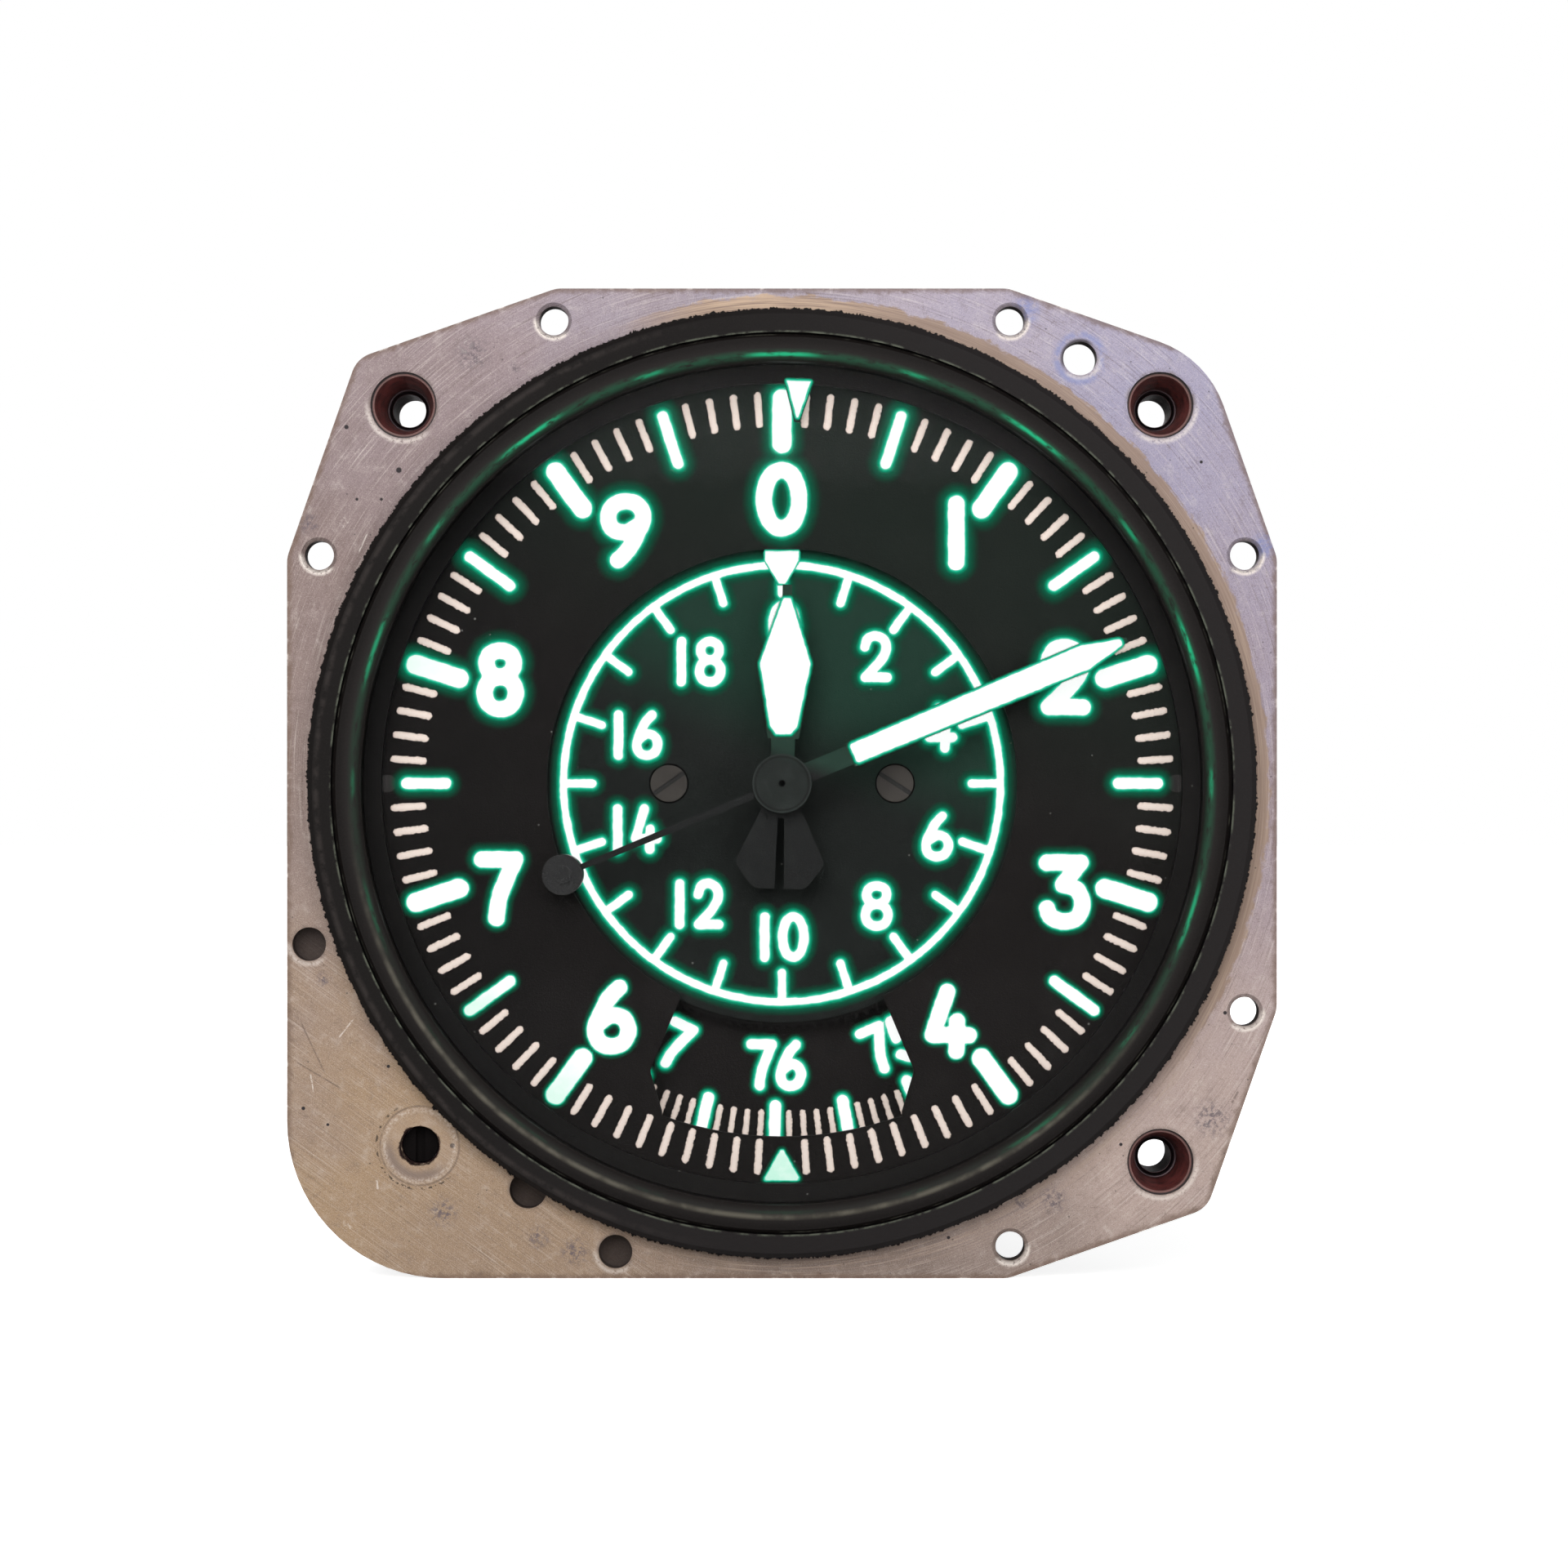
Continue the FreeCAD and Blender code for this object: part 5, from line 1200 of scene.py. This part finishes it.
def spot(radius: float, bearing: float, side: float = 0.0) -> Point:
    """A place on the dial.

    Args:
        radius: distance from the dial's axis.
        bearing: clock angle in degrees.
        side: distance to the right of that bearing's line.

    Returns:
        Its x and z.
    """
    sine, cosine = math.sin(math.radians(bearing)), math.cos(math.radians(bearing))
    return radius * sine + side * cosine, radius * cosine - side * sine


def bar(inner: float, outer: float, width: float, bearing: float, worn: float = 0.0) -> Stroke:
    """A radial bar with round ends.

    Args:
        inner: radius of its inner end.
        outer: radius of its outer end.
        width: its width.
        bearing: where it stands.
        worn: how far its paint has gone.

    Returns:
        The stroke.
    """
    ends = [spot(inner + width / 2, bearing), spot(outer - width / 2, bearing)]
    return Stroke(np.array(ends), width / 2, worn)


def outline(sides: Sequence[Point], bearing: float, corner: float, worn: float = 0.0) -> Patch:
    """A painted area that is the same on both sides of a bearing's line.

    Args:
        sides: radius and half width at each corner, from one end to the other.
        bearing: where it points.
        corner: rounding of its corners.
        worn: how far its paint has gone.

    Returns:
        The patch.
    """
    right = [spot(radius, bearing, half) for radius, half in sides]
    left = [spot(radius, bearing, -half) for radius, half in reversed(sides)]
    return Patch(np.array(right + left), corner, worn)


OVAL = ((50, 100), (86, 86), (100, 50), (86, 14), (50, 0), (14, 14), (0, 50), (14, 86))
SIX = (
    (72, 100), (42, 82), (14, 52), (0, 27), (14, 7), (48, 0),
    (84, 7), (100, 27), (86, 47), (50, 53), (16, 42),
)
DIGITS: dict[str, tuple[tuple[Run, tuple[Point, ...]], ...]] = {
    "0": ((Run.CLOSED, OVAL),),
    "1": ((Run.STRAIGHT, ((50, 100), (50, 0))),),
    "2": (
        (Run.CURVED, ((2, 74), (16, 95), (50, 102), (86, 92), (96, 70), (74, 42), (4, 0))),
        (Run.STRAIGHT, ((4, 0), (100, 0))),
    ),
    "3": (
        (Run.STRAIGHT, ((0, 100), (94, 100), (46, 62))),
        (Run.CURVED, ((46, 62), (84, 54), (100, 30), (84, 6), (46, 0), (12, 7), (0, 22))),
    ),
    "4": (
        (Run.STRAIGHT, ((40, 100), (0, 27), (100, 27))),
        (Run.STRAIGHT, ((68, 50), (66, 0))),
    ),
    "5": (
        (Run.STRAIGHT, ((94, 100), (14, 100), (8, 56))),
        (Run.CURVED, ((8, 56), (46, 64), (86, 56), (100, 30), (84, 6), (44, 0), (0, 16))),
    ),
    "6": ((Run.CURVED, SIX),),
    "7": (
        (Run.STRAIGHT, ((0, 100), (100, 100))),
        (Run.CURVED, ((100, 100), (70, 62), (50, 30), (44, 0))),
    ),
    "8": (
        (Run.CLOSED, ((50, 100), (84, 93), (94, 77), (80, 61), (50, 55), (20, 61), (6, 77), (16, 93))),
        (Run.CLOSED, ((50, 55), (86, 47), (100, 27), (85, 7), (50, 0), (15, 7), (0, 27), (14, 47))),
    ),
    "9": ((Run.CURVED, tuple((100 - x, 100 - z) for x, z in SIX)),),
}


@dataclass(frozen=True)
class Lettering:
    """Size of hand-painted figures. A slim 1 stands closer to the figure after it."""

    height: float
    width: float
    stroke: float
    pitch: float = 0.0
    slim_places: Point = (-0.69, 0.31)

    def figures(self, text: str, centre: Point, turn: float = 0.0, share: float = 1.0) -> list[Stroke]:
        """Paints a number.

        Args:
            text: its figures.
            centre: its middle on the dial.
            turn: how far it is turned clockwise, in degrees.
            share: width against the usual one.

        Returns:
            Its strokes.
        """
        size = ((self.width - self.stroke) * share, self.height - self.stroke)
        cosine, sine = math.cos(math.radians(turn)), math.sin(math.radians(turn))
        made = []
        for figure, middle in zip(text, self.places(text)):
            for run, points in DIGITS[figure]:
                x, z = ((drawn_path(points, run) - 0.5) * size + (middle, 0.0)).T
                turned = np.stack([x * cosine + z * sine, z * cosine - x * sine], 1)
                made.append(Stroke(turned + centre, self.stroke / 2))
        return made

    def places(self, text: str) -> tuple[float, ...]:
        """Middles of the figures across the number.

        Args:
            text: one figure or two.

        Returns:
            One place for each.
        """
        if len(text) == 1:
            return (0.0,)
        if text[0] != "1":
            return -self.pitch / 2, self.pitch / 2
        step = self.pitch - (self.width - self.stroke) / 2
        return tuple(step * place for place in self.slim_places)


@dataclass
class PaintLayer:
    """Marks painted on one flat face, as one piece with a low dome over each mark."""

    name: str
    body: Body
    slot: Slot
    face: float
    finish: Finish
    marks: Sequence[Stroke]
    cell: float = 0.2
    margin: float = 0.85
    thickness: float = 0.09
    lift: float = 0.012
    shoulder: float = 0.3
    fewest_cells: int = 4

    def build(self) -> None:
        """Makes the piece and hangs it on its body."""
        lowest = np.min([mark.box()[0] for mark in self.marks], 0) - self.margin
        highest = np.max([mark.box()[1] for mark in self.marks], 0) + self.margin
        size = float(max(highest - lowest))
        middle = (lowest + highest) / 2
        cells = max(self.fewest_cells, round(size / self.cell))
        clear_selection()
        bpy.ops.mesh.primitive_grid_add(
            x_subdivisions=cells,
            y_subdivisions=cells,
            size=size * MM,
            location=(middle[0] * MM, self.face * MM, middle[1] * MM),
            rotation=(math.pi / 2, 0.0, 0.0),
        )
        piece = bpy.context.object
        piece.name = piece.data.name = self.name
        bpy.ops.object.transform_apply()
        self.trim(piece)
        self.raise_marks(piece)
        self.hang(piece)

    def distances(self, piece: bpy.types.Object) -> tuple[np.ndarray, np.ndarray]:
        """Distance of each point from the nearest mark's edge, and that mark's wear.

        Args:
            piece: the layer so far.

        Returns:
            Both, one value for each point.
        """
        at = points_of(piece)[:, [0, 2]] / MM
        rim = np.full(len(at), NOWHERE)
        worn = np.zeros(len(at))
        for mark in self.marks:
            low, high = mark.box()
            close = np.flatnonzero(np.all((at > low - self.margin) & (at < high + self.margin), 1))
            found = mark.distance(at[close])
            nearer = found < rim[close]
            rim[close[nearer]] = found[nearer]
            worn[close[nearer]] = mark.worn
        return rim, worn

    def trim(self, piece: bpy.types.Object) -> None:
        """Deletes what lies further from the marks than their glow reaches.

        Args:
            piece: the layer so far.
        """
        rim, _ = self.distances(piece)
        mesh = piece.data
        mesh.vertices.foreach_set("select", rim > self.margin)
        mesh.edges.foreach_set("select", np.zeros(len(mesh.edges), bool))
        mesh.polygons.foreach_set("select", np.zeros(len(mesh.polygons), bool))
        bpy.ops.object.mode_set(mode="EDIT")
        bpy.ops.mesh.select_mode(type="VERT")
        bpy.ops.mesh.delete(type="VERT")
        bpy.ops.object.mode_set(mode="OBJECT")

    def raise_marks(self, piece: bpy.types.Object) -> None:
        """Domes each mark, and keeps its distances on the mesh for the paint.

        Args:
            piece: the layer so far.
        """
        rim, worn = self.distances(piece)
        share = np.clip(-rim / self.shoulder, 0.0, 1.0)
        points = points_of(piece)
        points[:, 1] = (self.face - self.lift - self.thickness * np.sqrt(share * (2 - share))) * MM
        piece.data.vertices.foreach_set("co", points.ravel())
        for name, values in (("rim", rim), ("worn", worn)):
            kept = piece.data.attributes.new(name, "FLOAT", "POINT")
            kept.data.foreach_set("value", values)
        piece.data.update()

    def hang(self, piece: bpy.types.Object) -> None:
        """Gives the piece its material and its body.

        Args:
            piece: the finished layer.
        """
        piece.data.polygons.foreach_set("use_smooth", np.ones(len(piece.data.polygons), bool))
        piece.data.materials.clear()
        piece.data.materials.append(self.finish.material())
        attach(piece, self.body.value)
        log.info("%s: %d faces on %s", piece.name, len(piece.data.polygons), self.body.value)


@dataclass
class TickLayer(PaintLayer):
    """Plain ticks, thin paint without a glow."""

    cell: float = 0.14
    margin: float = 0.2
    thickness: float = 0.06


def points_of(piece: bpy.types.Object) -> np.ndarray:
    """A mesh's points, in metres.

    Args:
        piece: the mesh's object.

    Returns:
        One row for each point.
    """
    points = np.zeros(len(piece.data.vertices) * 3)
    piece.data.vertices.foreach_get("co", points)
    return points.reshape(-1, 3)


def clear_selection() -> None:
    """Deselects everything."""
    bpy.ops.object.select_all(action="DESELECT")


# Sub-assemblies


Clothes = tuple[tuple[Finish, str], ...]


@dataclass
class SubAssembly:
    """CAD nodes that belong together: a finish and the nodes that wear it, and the paint on them."""

    clothes: Clothes = ()

    def finishes(self) -> Clothes:
        """Finishes and their nodes."""
        return self.clothes

    def layers(self) -> list[PaintLayer]:
        """Paint on the nodes, where there is any."""
        return []

    def build(self) -> None:
        """Dresses the nodes, then paints them."""
        for finish, nodes in self.finishes():
            for name in nodes.split():
                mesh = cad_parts[name].data
                mesh.materials.clear()
                mesh.materials.append(finish.material())
                log.info("%s: %s", name, finish.name)
        for layer in self.layers():
            layer.build()


@dataclass
class CaseAssembly(SubAssembly):
    """Casting with its corner inserts, glass and retaining ring."""

    clothes: Clothes = (
        (Fibre("red_fibre"), "corner_collars"),
        (Thread("threaded_steel"), "corner_inserts"),
        (RingPaint("ring_paint"), "retaining_ring"),
        (CoverGlass("clear_glass"), "cover_glass"),
        (SoftSeal("black_seal"), "glass_gasket cover_gasket port_washer spindle_packing"),
    )
    edge_along: float = 19.6
    edge_out: float = 39.75
    edge_hole: float = 1.25
    corner: float = 32.5
    corner_hole: float = 2.85
    edge_shine: float = 1.0
    corner_shine: float = 0.55
    blind: tuple[Hole, ...] = (
        (-40.6, -13.8, 1.45, 0.4), (-14.3, -40.2, 1.45, 0.4),
        (25.6, 36.5, 1.45, 0.5), (-21.8, -34.9, 1.6, 0.0),
    )

    def holes(self) -> tuple[Hole, ...]:
        """The holes of the flange's face.

        Returns:
            x, z, radius and how bright the painted highlight under it is, for each.
        """
        sides = ((-1, 1), (1, 1), (1, -1))
        along, out = self.edge_along, self.edge_out
        places = [(a * along, b * out) for a, b in sides] + [(a * out, b * along) for a, b in sides]
        edges = [(*place, self.edge_hole, self.edge_shine) for place in places]
        corners = [(a * self.corner, b * self.corner, self.corner_hole, self.corner_shine) for a, b in sides]
        return (*edges, *corners, *self.blind)

    def finishes(self) -> Clothes:
        """The casting's finish, which goes by its holes, and the others."""
        return (CastingMetal("worn_casting", holes=self.holes()), "case_casting"), *self.clothes


@dataclass
class MainDial(SubAssembly):
    """Main dial with its scale of a hundred parts."""

    clothes: Clothes = (
        (DialPaint("dial_black_paint", veil_share=0.28), "main_dial"),
        (Metal("dial_screw_steel", srgb(42, 39, 37), srgb(28, 25, 24), 0.4, 0.5), "dial_screws"),
    )
    lume: Finish = LumePaint("dial_lume")
    paint: Finish = ScalePaint("tick_paint")
    face: float = 5.1
    parts: int = 100
    long_every: int = 5
    plain: tuple[int, ...] = (45, 55)
    tick: Place = (30.93, 34.06, 0.62)
    mid: Place = (28.66, 34.06, 1.1)
    mid_short_end: float = 33.15
    major: Place = (28.59, 34.34, 1.81)
    pointer: tuple[Point, ...] = ((31.98, 0.02), (34.35, 1.38))
    pointer_part: int = 50
    pointer_corner: float = 0.2
    pointer_worn: float = 0.55
    figures: Lettering = Lettering(6.67, 4.6, 1.56)
    places: tuple[tuple[str, float, float, float], ...] = (
        ("0", -0.04, 24.69, 1.0), ("1", 15.15, 21.75, 1.0), ("2", 24.58, 9.19, 1.0),
        ("3", 24.55, -9.44, 1.02), ("4", 14.65, -20.68, 1.03), ("6", -14.79, -20.29, 0.96),
        ("7", -24.62, -9.15, 0.96), ("8", -24.48, 9.01, 0.9), ("9", -13.59, 21.96, 1.0),
    )
    worn: dict[int, float] = field(default_factory=lambda: {80: 0.2, 60: 0.35, 65: 0.4})

    def layers(self) -> list[PaintLayer]:
        """Plain ticks and luminous marks."""
        place = (Body.CASE, Slot.DIAL, self.face)
        ticks = TickLayer("dial_ticks", *place, self.paint, self.ticks())
        return [ticks, PaintLayer("dial_lume_marks", *place, self.lume, self.lume_marks(), margin=1.3)]

    def bearing(self, part: int) -> float:
        """Where a part of the scale stands."""
        return part * 360 / self.parts

    def ticks(self) -> list[Stroke]:
        """The plain ticks between the luminous ones."""
        plain = [part for part in range(self.parts) if part % self.long_every or part in self.plain]
        return [bar(*self.tick, self.bearing(part)) for part in plain]

    def lume_marks(self) -> list[Stroke]:
        """Bars, long ticks, the fixed pointer and the figures.

        Returns:
            The marks.
        """
        marks: list[Stroke] = []
        for part in range(0, self.parts, self.long_every):
            bearing, worn = self.bearing(part), self.worn.get(part, 0.0)
            inner, outer, width = self.mid
            if part == self.pointer_part:
                marks.append(outline(self.pointer, bearing, self.pointer_corner, self.pointer_worn))
            elif part % (2 * self.long_every) == 0:
                marks.append(bar(*self.major, bearing, worn))
            elif part not in self.plain:
                end = self.mid_short_end if bearing % 180 == 90 else outer
                marks.append(bar(inner, end, width, bearing, worn))
        for text, x, z, share in self.places:
            marks += self.figures.figures(text, (x, z), share=share)
        return marks


@dataclass
class SubDial(SubAssembly):
    """Small dial in the middle, with its ring of twenty parts."""

    clothes: Clothes = (
        (
            DialPaint(
                "sub_dial_black_paint", srgb(27, 30, 28), srgb(38, 42, 40),
                veil=srgb(32, 62, 50), veil_share=0.9, veil_reach=10.5, well=7.0,
            ),
            "sub_dial",
        ),
        (
            Metal("sub_dial_screw_steel", srgb(48, 43, 37), srgb(28, 25, 21), 0.4, 0.45, shade_from=6.78),
            "sub_dial_screws",
        ),
    )
    lume: Finish = LumePaint("sub_dial_lume", glow=1.0, even=True)
    face: float = 6.9
    parts: int = 20
    circle: float = 19.06
    circle_width: float = 0.78
    circle_runs: int = 120
    tick: Place = (16.1, 19.2, 0.86)
    figures: Lettering = Lettering(4.5, 2.95, 0.97, 3.49)
    second_share: float = 0.93
    places: tuple[tuple[str, float, float], ...] = (
        ("0", 0.19, 13.82), ("2", 8.19, 11.04), ("4", 13.89, 4.84), ("6", 13.54, -4.63), ("8", 8.26, -10.69),
        ("10", 0.21, -13.39), ("12", -7.2, -10.54), ("14", -12.61, -3.99), ("16", -12.54, 4.2),
        ("18", -7.05, 10.62),
    )

    def layers(self) -> list[PaintLayer]:
        """Luminous marks."""
        place = (Body.CASE, Slot.DIAL, self.face)
        return [PaintLayer("sub_dial_lume_marks", *place, self.lume, self.marks(), cell=0.15, margin=0.95)]

    def marks(self) -> list[Stroke]:
        """Circle, ticks and figures.

        Returns:
            The marks.
        """
        turns = [run * 360 / self.circle_runs for run in range(self.circle_runs + 1)]
        ring = np.array([spot(self.circle, turn) for turn in turns])
        marks = [Stroke(ring, self.circle_width / 2)]
        marks += [bar(*self.tick, part * 360 / self.parts) for part in range(self.parts)]
        for text, x, z in self.places:
            marks += self.figures.figures(text, (x, z), share=1.0 if len(text) == 1 else self.second_share)
        return marks


@dataclass
class PressureScale(SubAssembly):
    """Disc behind the window, with its scale of pressures."""

    clothes: Clothes = ((DialPaint("scale_black_paint", dimple=((4.52, -24.03), 0.9)), "pressure_disc"),)
    lume: Finish = LumePaint("scale_lume", glow=0.6, even=True)
    paint: Finish = ScalePaint("scale_tick_paint")
    face: float = 9.95
    step: float = 2.4
    shift: float = 181.2
    long_tick: Place = (27.76, 33.1, 1.15)
    tick: Place = (28.7, 33.1, 0.5)
    figures: Lettering = Lettering(4.66, 2.85, 1.04, 2.6)
    figure_radius: float = 24.75
    lowest: int = 67
    highest: int = 79
    middle: int = 76

    def bearing(self, value: float) -> float:
        """Where a value of the scale stands at rest."""
        return self.shift + (value - self.middle) * 10 * self.step

    def layers(self) -> list[PaintLayer]:
        """Plain ticks, and luminous ticks with the figures.

        Returns:
            Both layers.
        """
        parts = range(self.lowest * 10 - 5, self.highest * 10 + 6)
        ticks = [bar(*self.tick, self.bearing(part / 10)) for part in parts if part % 5]
        lume = [bar(*self.long_tick, self.bearing(part / 10)) for part in parts if part % 5 == 0]
        for value in range(self.lowest, self.highest + 1):
            bearing = self.bearing(value)
            lume += self.figures.figures(str(value), spot(self.figure_radius, bearing), bearing - 180.0)
        place = (Body.SETTING_WHEEL, Slot.DIAL, self.face)
        return [
            TickLayer("scale_ticks", *place, self.paint, ticks),
            PaintLayer("scale_lume_marks", *place, self.lume, lume, cell=0.18, margin=0.6),
        ]


@dataclass
class Indexes(SubAssembly):
    """The two triangular indexes, outer and inner."""

    clothes: Clothes = (
        (DialPaint("index_black_paint", srgb(30, 29, 28)), "outer_index_ring inner_index_disc"),
    )
    lume: Finish = LumePaint("index_lume", glow=0.3, even=True)
    outer_face: float = 3.7
    outer_bearing: float = 2.4
    outer: tuple[Point, ...] = ((31.75, 0.04), (34.85, 1.0))
    inner_face: float = 6.3
    inner: tuple[Point, ...] = ((17.42, 0.26), (19.4, 1.42), (20.2, 1.42))
    corner: float = 0.1
    cell: float = 0.06

    def layers(self) -> list[PaintLayer]:
        """Paint of both pointers.

        Returns:
            Both layers.
        """
        outer = [outline(self.outer, self.outer_bearing, self.corner)]
        inner = [outline(self.inner, 0.0, self.corner)]
        outer_place = (Body.OUTER_INDEX, Slot.DIAL, self.outer_face)
        inner_place = (Body.INNER_INDEX, Slot.DIAL, self.inner_face)
        return [
            PaintLayer("outer_index_lume", *outer_place, self.lume, outer, self.cell, margin=0.25),
            PaintLayer("inner_index_lume", *inner_place, self.lume, inner, self.cell, margin=0.1),
        ]


@dataclass
class Hands(SubAssembly):
    """Long and short hand with their luminous paint."""

    clothes: Clothes = (
        (
            HandPaint("hand_black", srgb(16, 18, 17), srgb(34, 37, 35), 0.5, 0.16, lit_share=0.9),
            "long_hand short_hand",
        ),
        (
            HandPaint("hub_black", srgb(24, 30, 27), srgb(46, 54, 50), 0.5, 0.16, rim=2.62, lit_share=0.3),
            "hand_hub",
        ),
        (
            HandPaint("counterweight_black", srgb(16, 16, 16), srgb(42, 42, 40), 0.3, 0.25),
            "hand_counterweight",
        ),
        (Metal("hand_tube_brass", srgb(186, 152, 88), srgb(120, 92, 50)), "short_hand_tube"),
        # painted shade: the arbor is near-black so the hub's hole looks dark
        (
            DialPaint("arbor_end_shade", srgb(8, 9, 9), srgb(14, 15, 15), specular=0.02, dust_share=0.0),
            "centre_arbor",
        ),
    )
    lume: Finish = LumePaint("hand_lume", glow=0.32, even=True)
    long_face: float = 1.8
    long_bearing: float = 67.4
    long: tuple[Point, ...] = ((6.93, 0.6), (28.3, 0.8), (31.45, 0.04))
    long_corner: float = 0.34
    short_face: float = 3.0
    short_bearing: float = 1.6
    short: tuple[Point, ...] = ((4.36, 0.6), (4.9, 1.06), (10.38, 2.1), (15.95, 0.24))
    short_corner: float = 0.16
    cell: float = 0.1
    margin: float = 0.3

    def layers(self) -> list[PaintLayer]:
        """Paint of both hands.

        Returns:
            Both layers.
        """
        long = [outline(self.long, self.long_bearing, self.long_corner)]
        short = [outline(self.short, self.short_bearing, self.short_corner)]
        long_place = (Body.LONG_HAND, Slot.HAND, self.long_face)
        short_place = (Body.SHORT_HAND, Slot.HAND, self.short_face)
        return [
            PaintLayer("long_hand_lume", *long_place, self.lume, long, self.cell, self.margin),
            PaintLayer("short_hand_lume", *short_place, self.lume, short, self.cell, self.margin),
        ]


@dataclass
class Movement(SubAssembly):
    """Plates, wheels, capsules and the rear of the case."""

    clothes: Clothes = (
        (
            Metal("wheel_brass", srgb(196, 164, 96), srgb(128, 96, 52)),
            "setting_wheel scale_hub index_wheel tube_wheel train_wheel pivot_bushes "
            "sector_gear balance_weight hairspring_collet hairspring_stud static_port",
        ),
        (
            Metal("arbor_steel", srgb(188, 188, 186), srgb(112, 106, 100), 1.0, 0.25),
            "train_arbor rocking_shaft link_rod index_stud index_pinion scale_pinion "
            "plate_pillars centre_post capsule_stem capsule_foot",
        ),
        (
            Metal("dark_steel", srgb(66, 62, 58), srgb(36, 33, 31), 0.8, 0.4),
            "gland_nut plate_screws movement_screws carrier_screws cover_screws",
        ),
        # painted shade: the spindle is near-black so its hole looks dark
        (
            DialPaint("spindle_end_shade", srgb(15, 11, 11), srgb(22, 17, 17), specular=0.03, dust_share=0.0),
            "setting_spindle",
        ),
        (
            Metal("plate_alloy", srgb(176, 174, 170), srgb(118, 112, 104), 0.9, 0.42),
            "front_plate rear_plate rocking_bridge capsule_bracket dial_carrier",
        ),
        (
            Metal("capsule_bronze", srgb(190, 138, 96), srgb(116, 78, 52), 1.0, 0.34),
            "lower_capsule upper_capsule",
        ),
        (Metal("hairspring_steel", srgb(92, 104, 140), srgb(52, 58, 84), 1.0, 0.25), "hairspring"),
        (Metal("two_metal_strip", srgb(180, 150, 104), srgb(130, 120, 108), 1.0, 0.35), "bimetal_arm"),
        (HandPaint("cover_black", srgb(36, 33, 31), srgb(64, 59, 55), 0.55, 0.3), "rear_cover"),
    )


# Stage


@dataclass
class Stage:
    """Floor, world, lamps and camera."""

    floor_level: float = -42.5
    floor_size: float = 6000.0
    ambient: float = 0.3
    gloss: float = 0.5
    camera_place: Place = (0.175, -430.0, -0.05)
    lens: float = 114.97
    clip: Point = (10.0, 20000.0)
    lamp_target: Place = (0.0, 30.0, 0.0)
    lamps: tuple[tuple[str, Place, float, float], ...] = (
        ("key", (-110.0, -560.0, 260.0), 420.0, 2.9),
        ("fill", (380.0, -520.0, 60.0), 320.0, 1.3),
        ("rim", (-260.0, 520.0, 420.0), 380.0, 2.2),
    )

    def build(self) -> None:
        """Sets the stage round the object."""
        self.floor()
        self.world()
        for lamp in self.lamps:
            self.lamp(*lamp)
        self.camera()

    def floor(self) -> None:
        """Lays the floor under the object."""
        clear_selection()
        size, level = self.floor_size * MM, self.floor_level * MM
        bpy.ops.mesh.primitive_plane_add(size=size, location=(0.0, 0.0, level))
        floor = bpy.context.object
        floor.name = "floor"
        bpy.ops.object.transform_apply()
        floor.data.materials.append(PaleFloor("pale_floor").material())

    def world(self) -> None:
        """Makes a white world whose own light on the object is even."""
        world = bpy.data.worlds.new("white_room")
        bpy.context.scene.world = world
        world.use_nodes = True
        world.node_tree.nodes.clear()
        graph = Graph(world.node_tree)
        seen, glossy = ray_kinds(graph)
        strength = seen * (1.0 - self.ambient) + glossy * (self.gloss - self.ambient) + self.ambient
        background = graph.node("ShaderNodeBackground", sockets={"Color": WHITE, "Strength": strength})
        graph.output(background, "ShaderNodeOutputWorld")

    def lamp(self, name: str, place: Place, size: float, watts: float) -> None:
        """Adds one soft lamp that looks at the object.

        Args:
            name: its name.
            place: where it hangs.
            size: its side.
            watts: its power.
        """
        clear_selection()
        bpy.ops.object.light_add(type="AREA", location=Vector(place) * MM)
        lamp = bpy.context.object
        lamp.name = name
        lamp.data.size = size * MM
        lamp.data.energy = watts
        away = lamp.location - Vector(self.lamp_target) * MM
        lamp.rotation_euler = away.to_track_quat("Z", "Y").to_euler()

    def camera(self) -> None:
        """Puts the camera in front of the dial."""
        clear_selection()
        upright = (math.pi / 2, 0.0, 0.0)
        bpy.ops.object.camera_add(location=Vector(self.camera_place) * MM, rotation=upright)
        camera = bpy.context.object
        camera.name = "photo_camera"
        camera.data.lens = self.lens
        camera.data.clip_start, camera.data.clip_end = (end * MM for end in self.clip)
        bpy.context.scene.camera = camera


def main() -> None:
    """Builds each sub-assembly in order, then the stage."""
    logging.basicConfig(level=logging.INFO, format="%(name)s %(message)s")
    bpy.context.scene.view_settings.view_transform = "Standard"
    for kind in (CaseAssembly, MainDial, SubDial, PressureScale, Indexes, Hands, Movement, Stage):
        log.info("building %s", kind.__name__)
        kind().build()


if __name__ == "__main__":
    main()
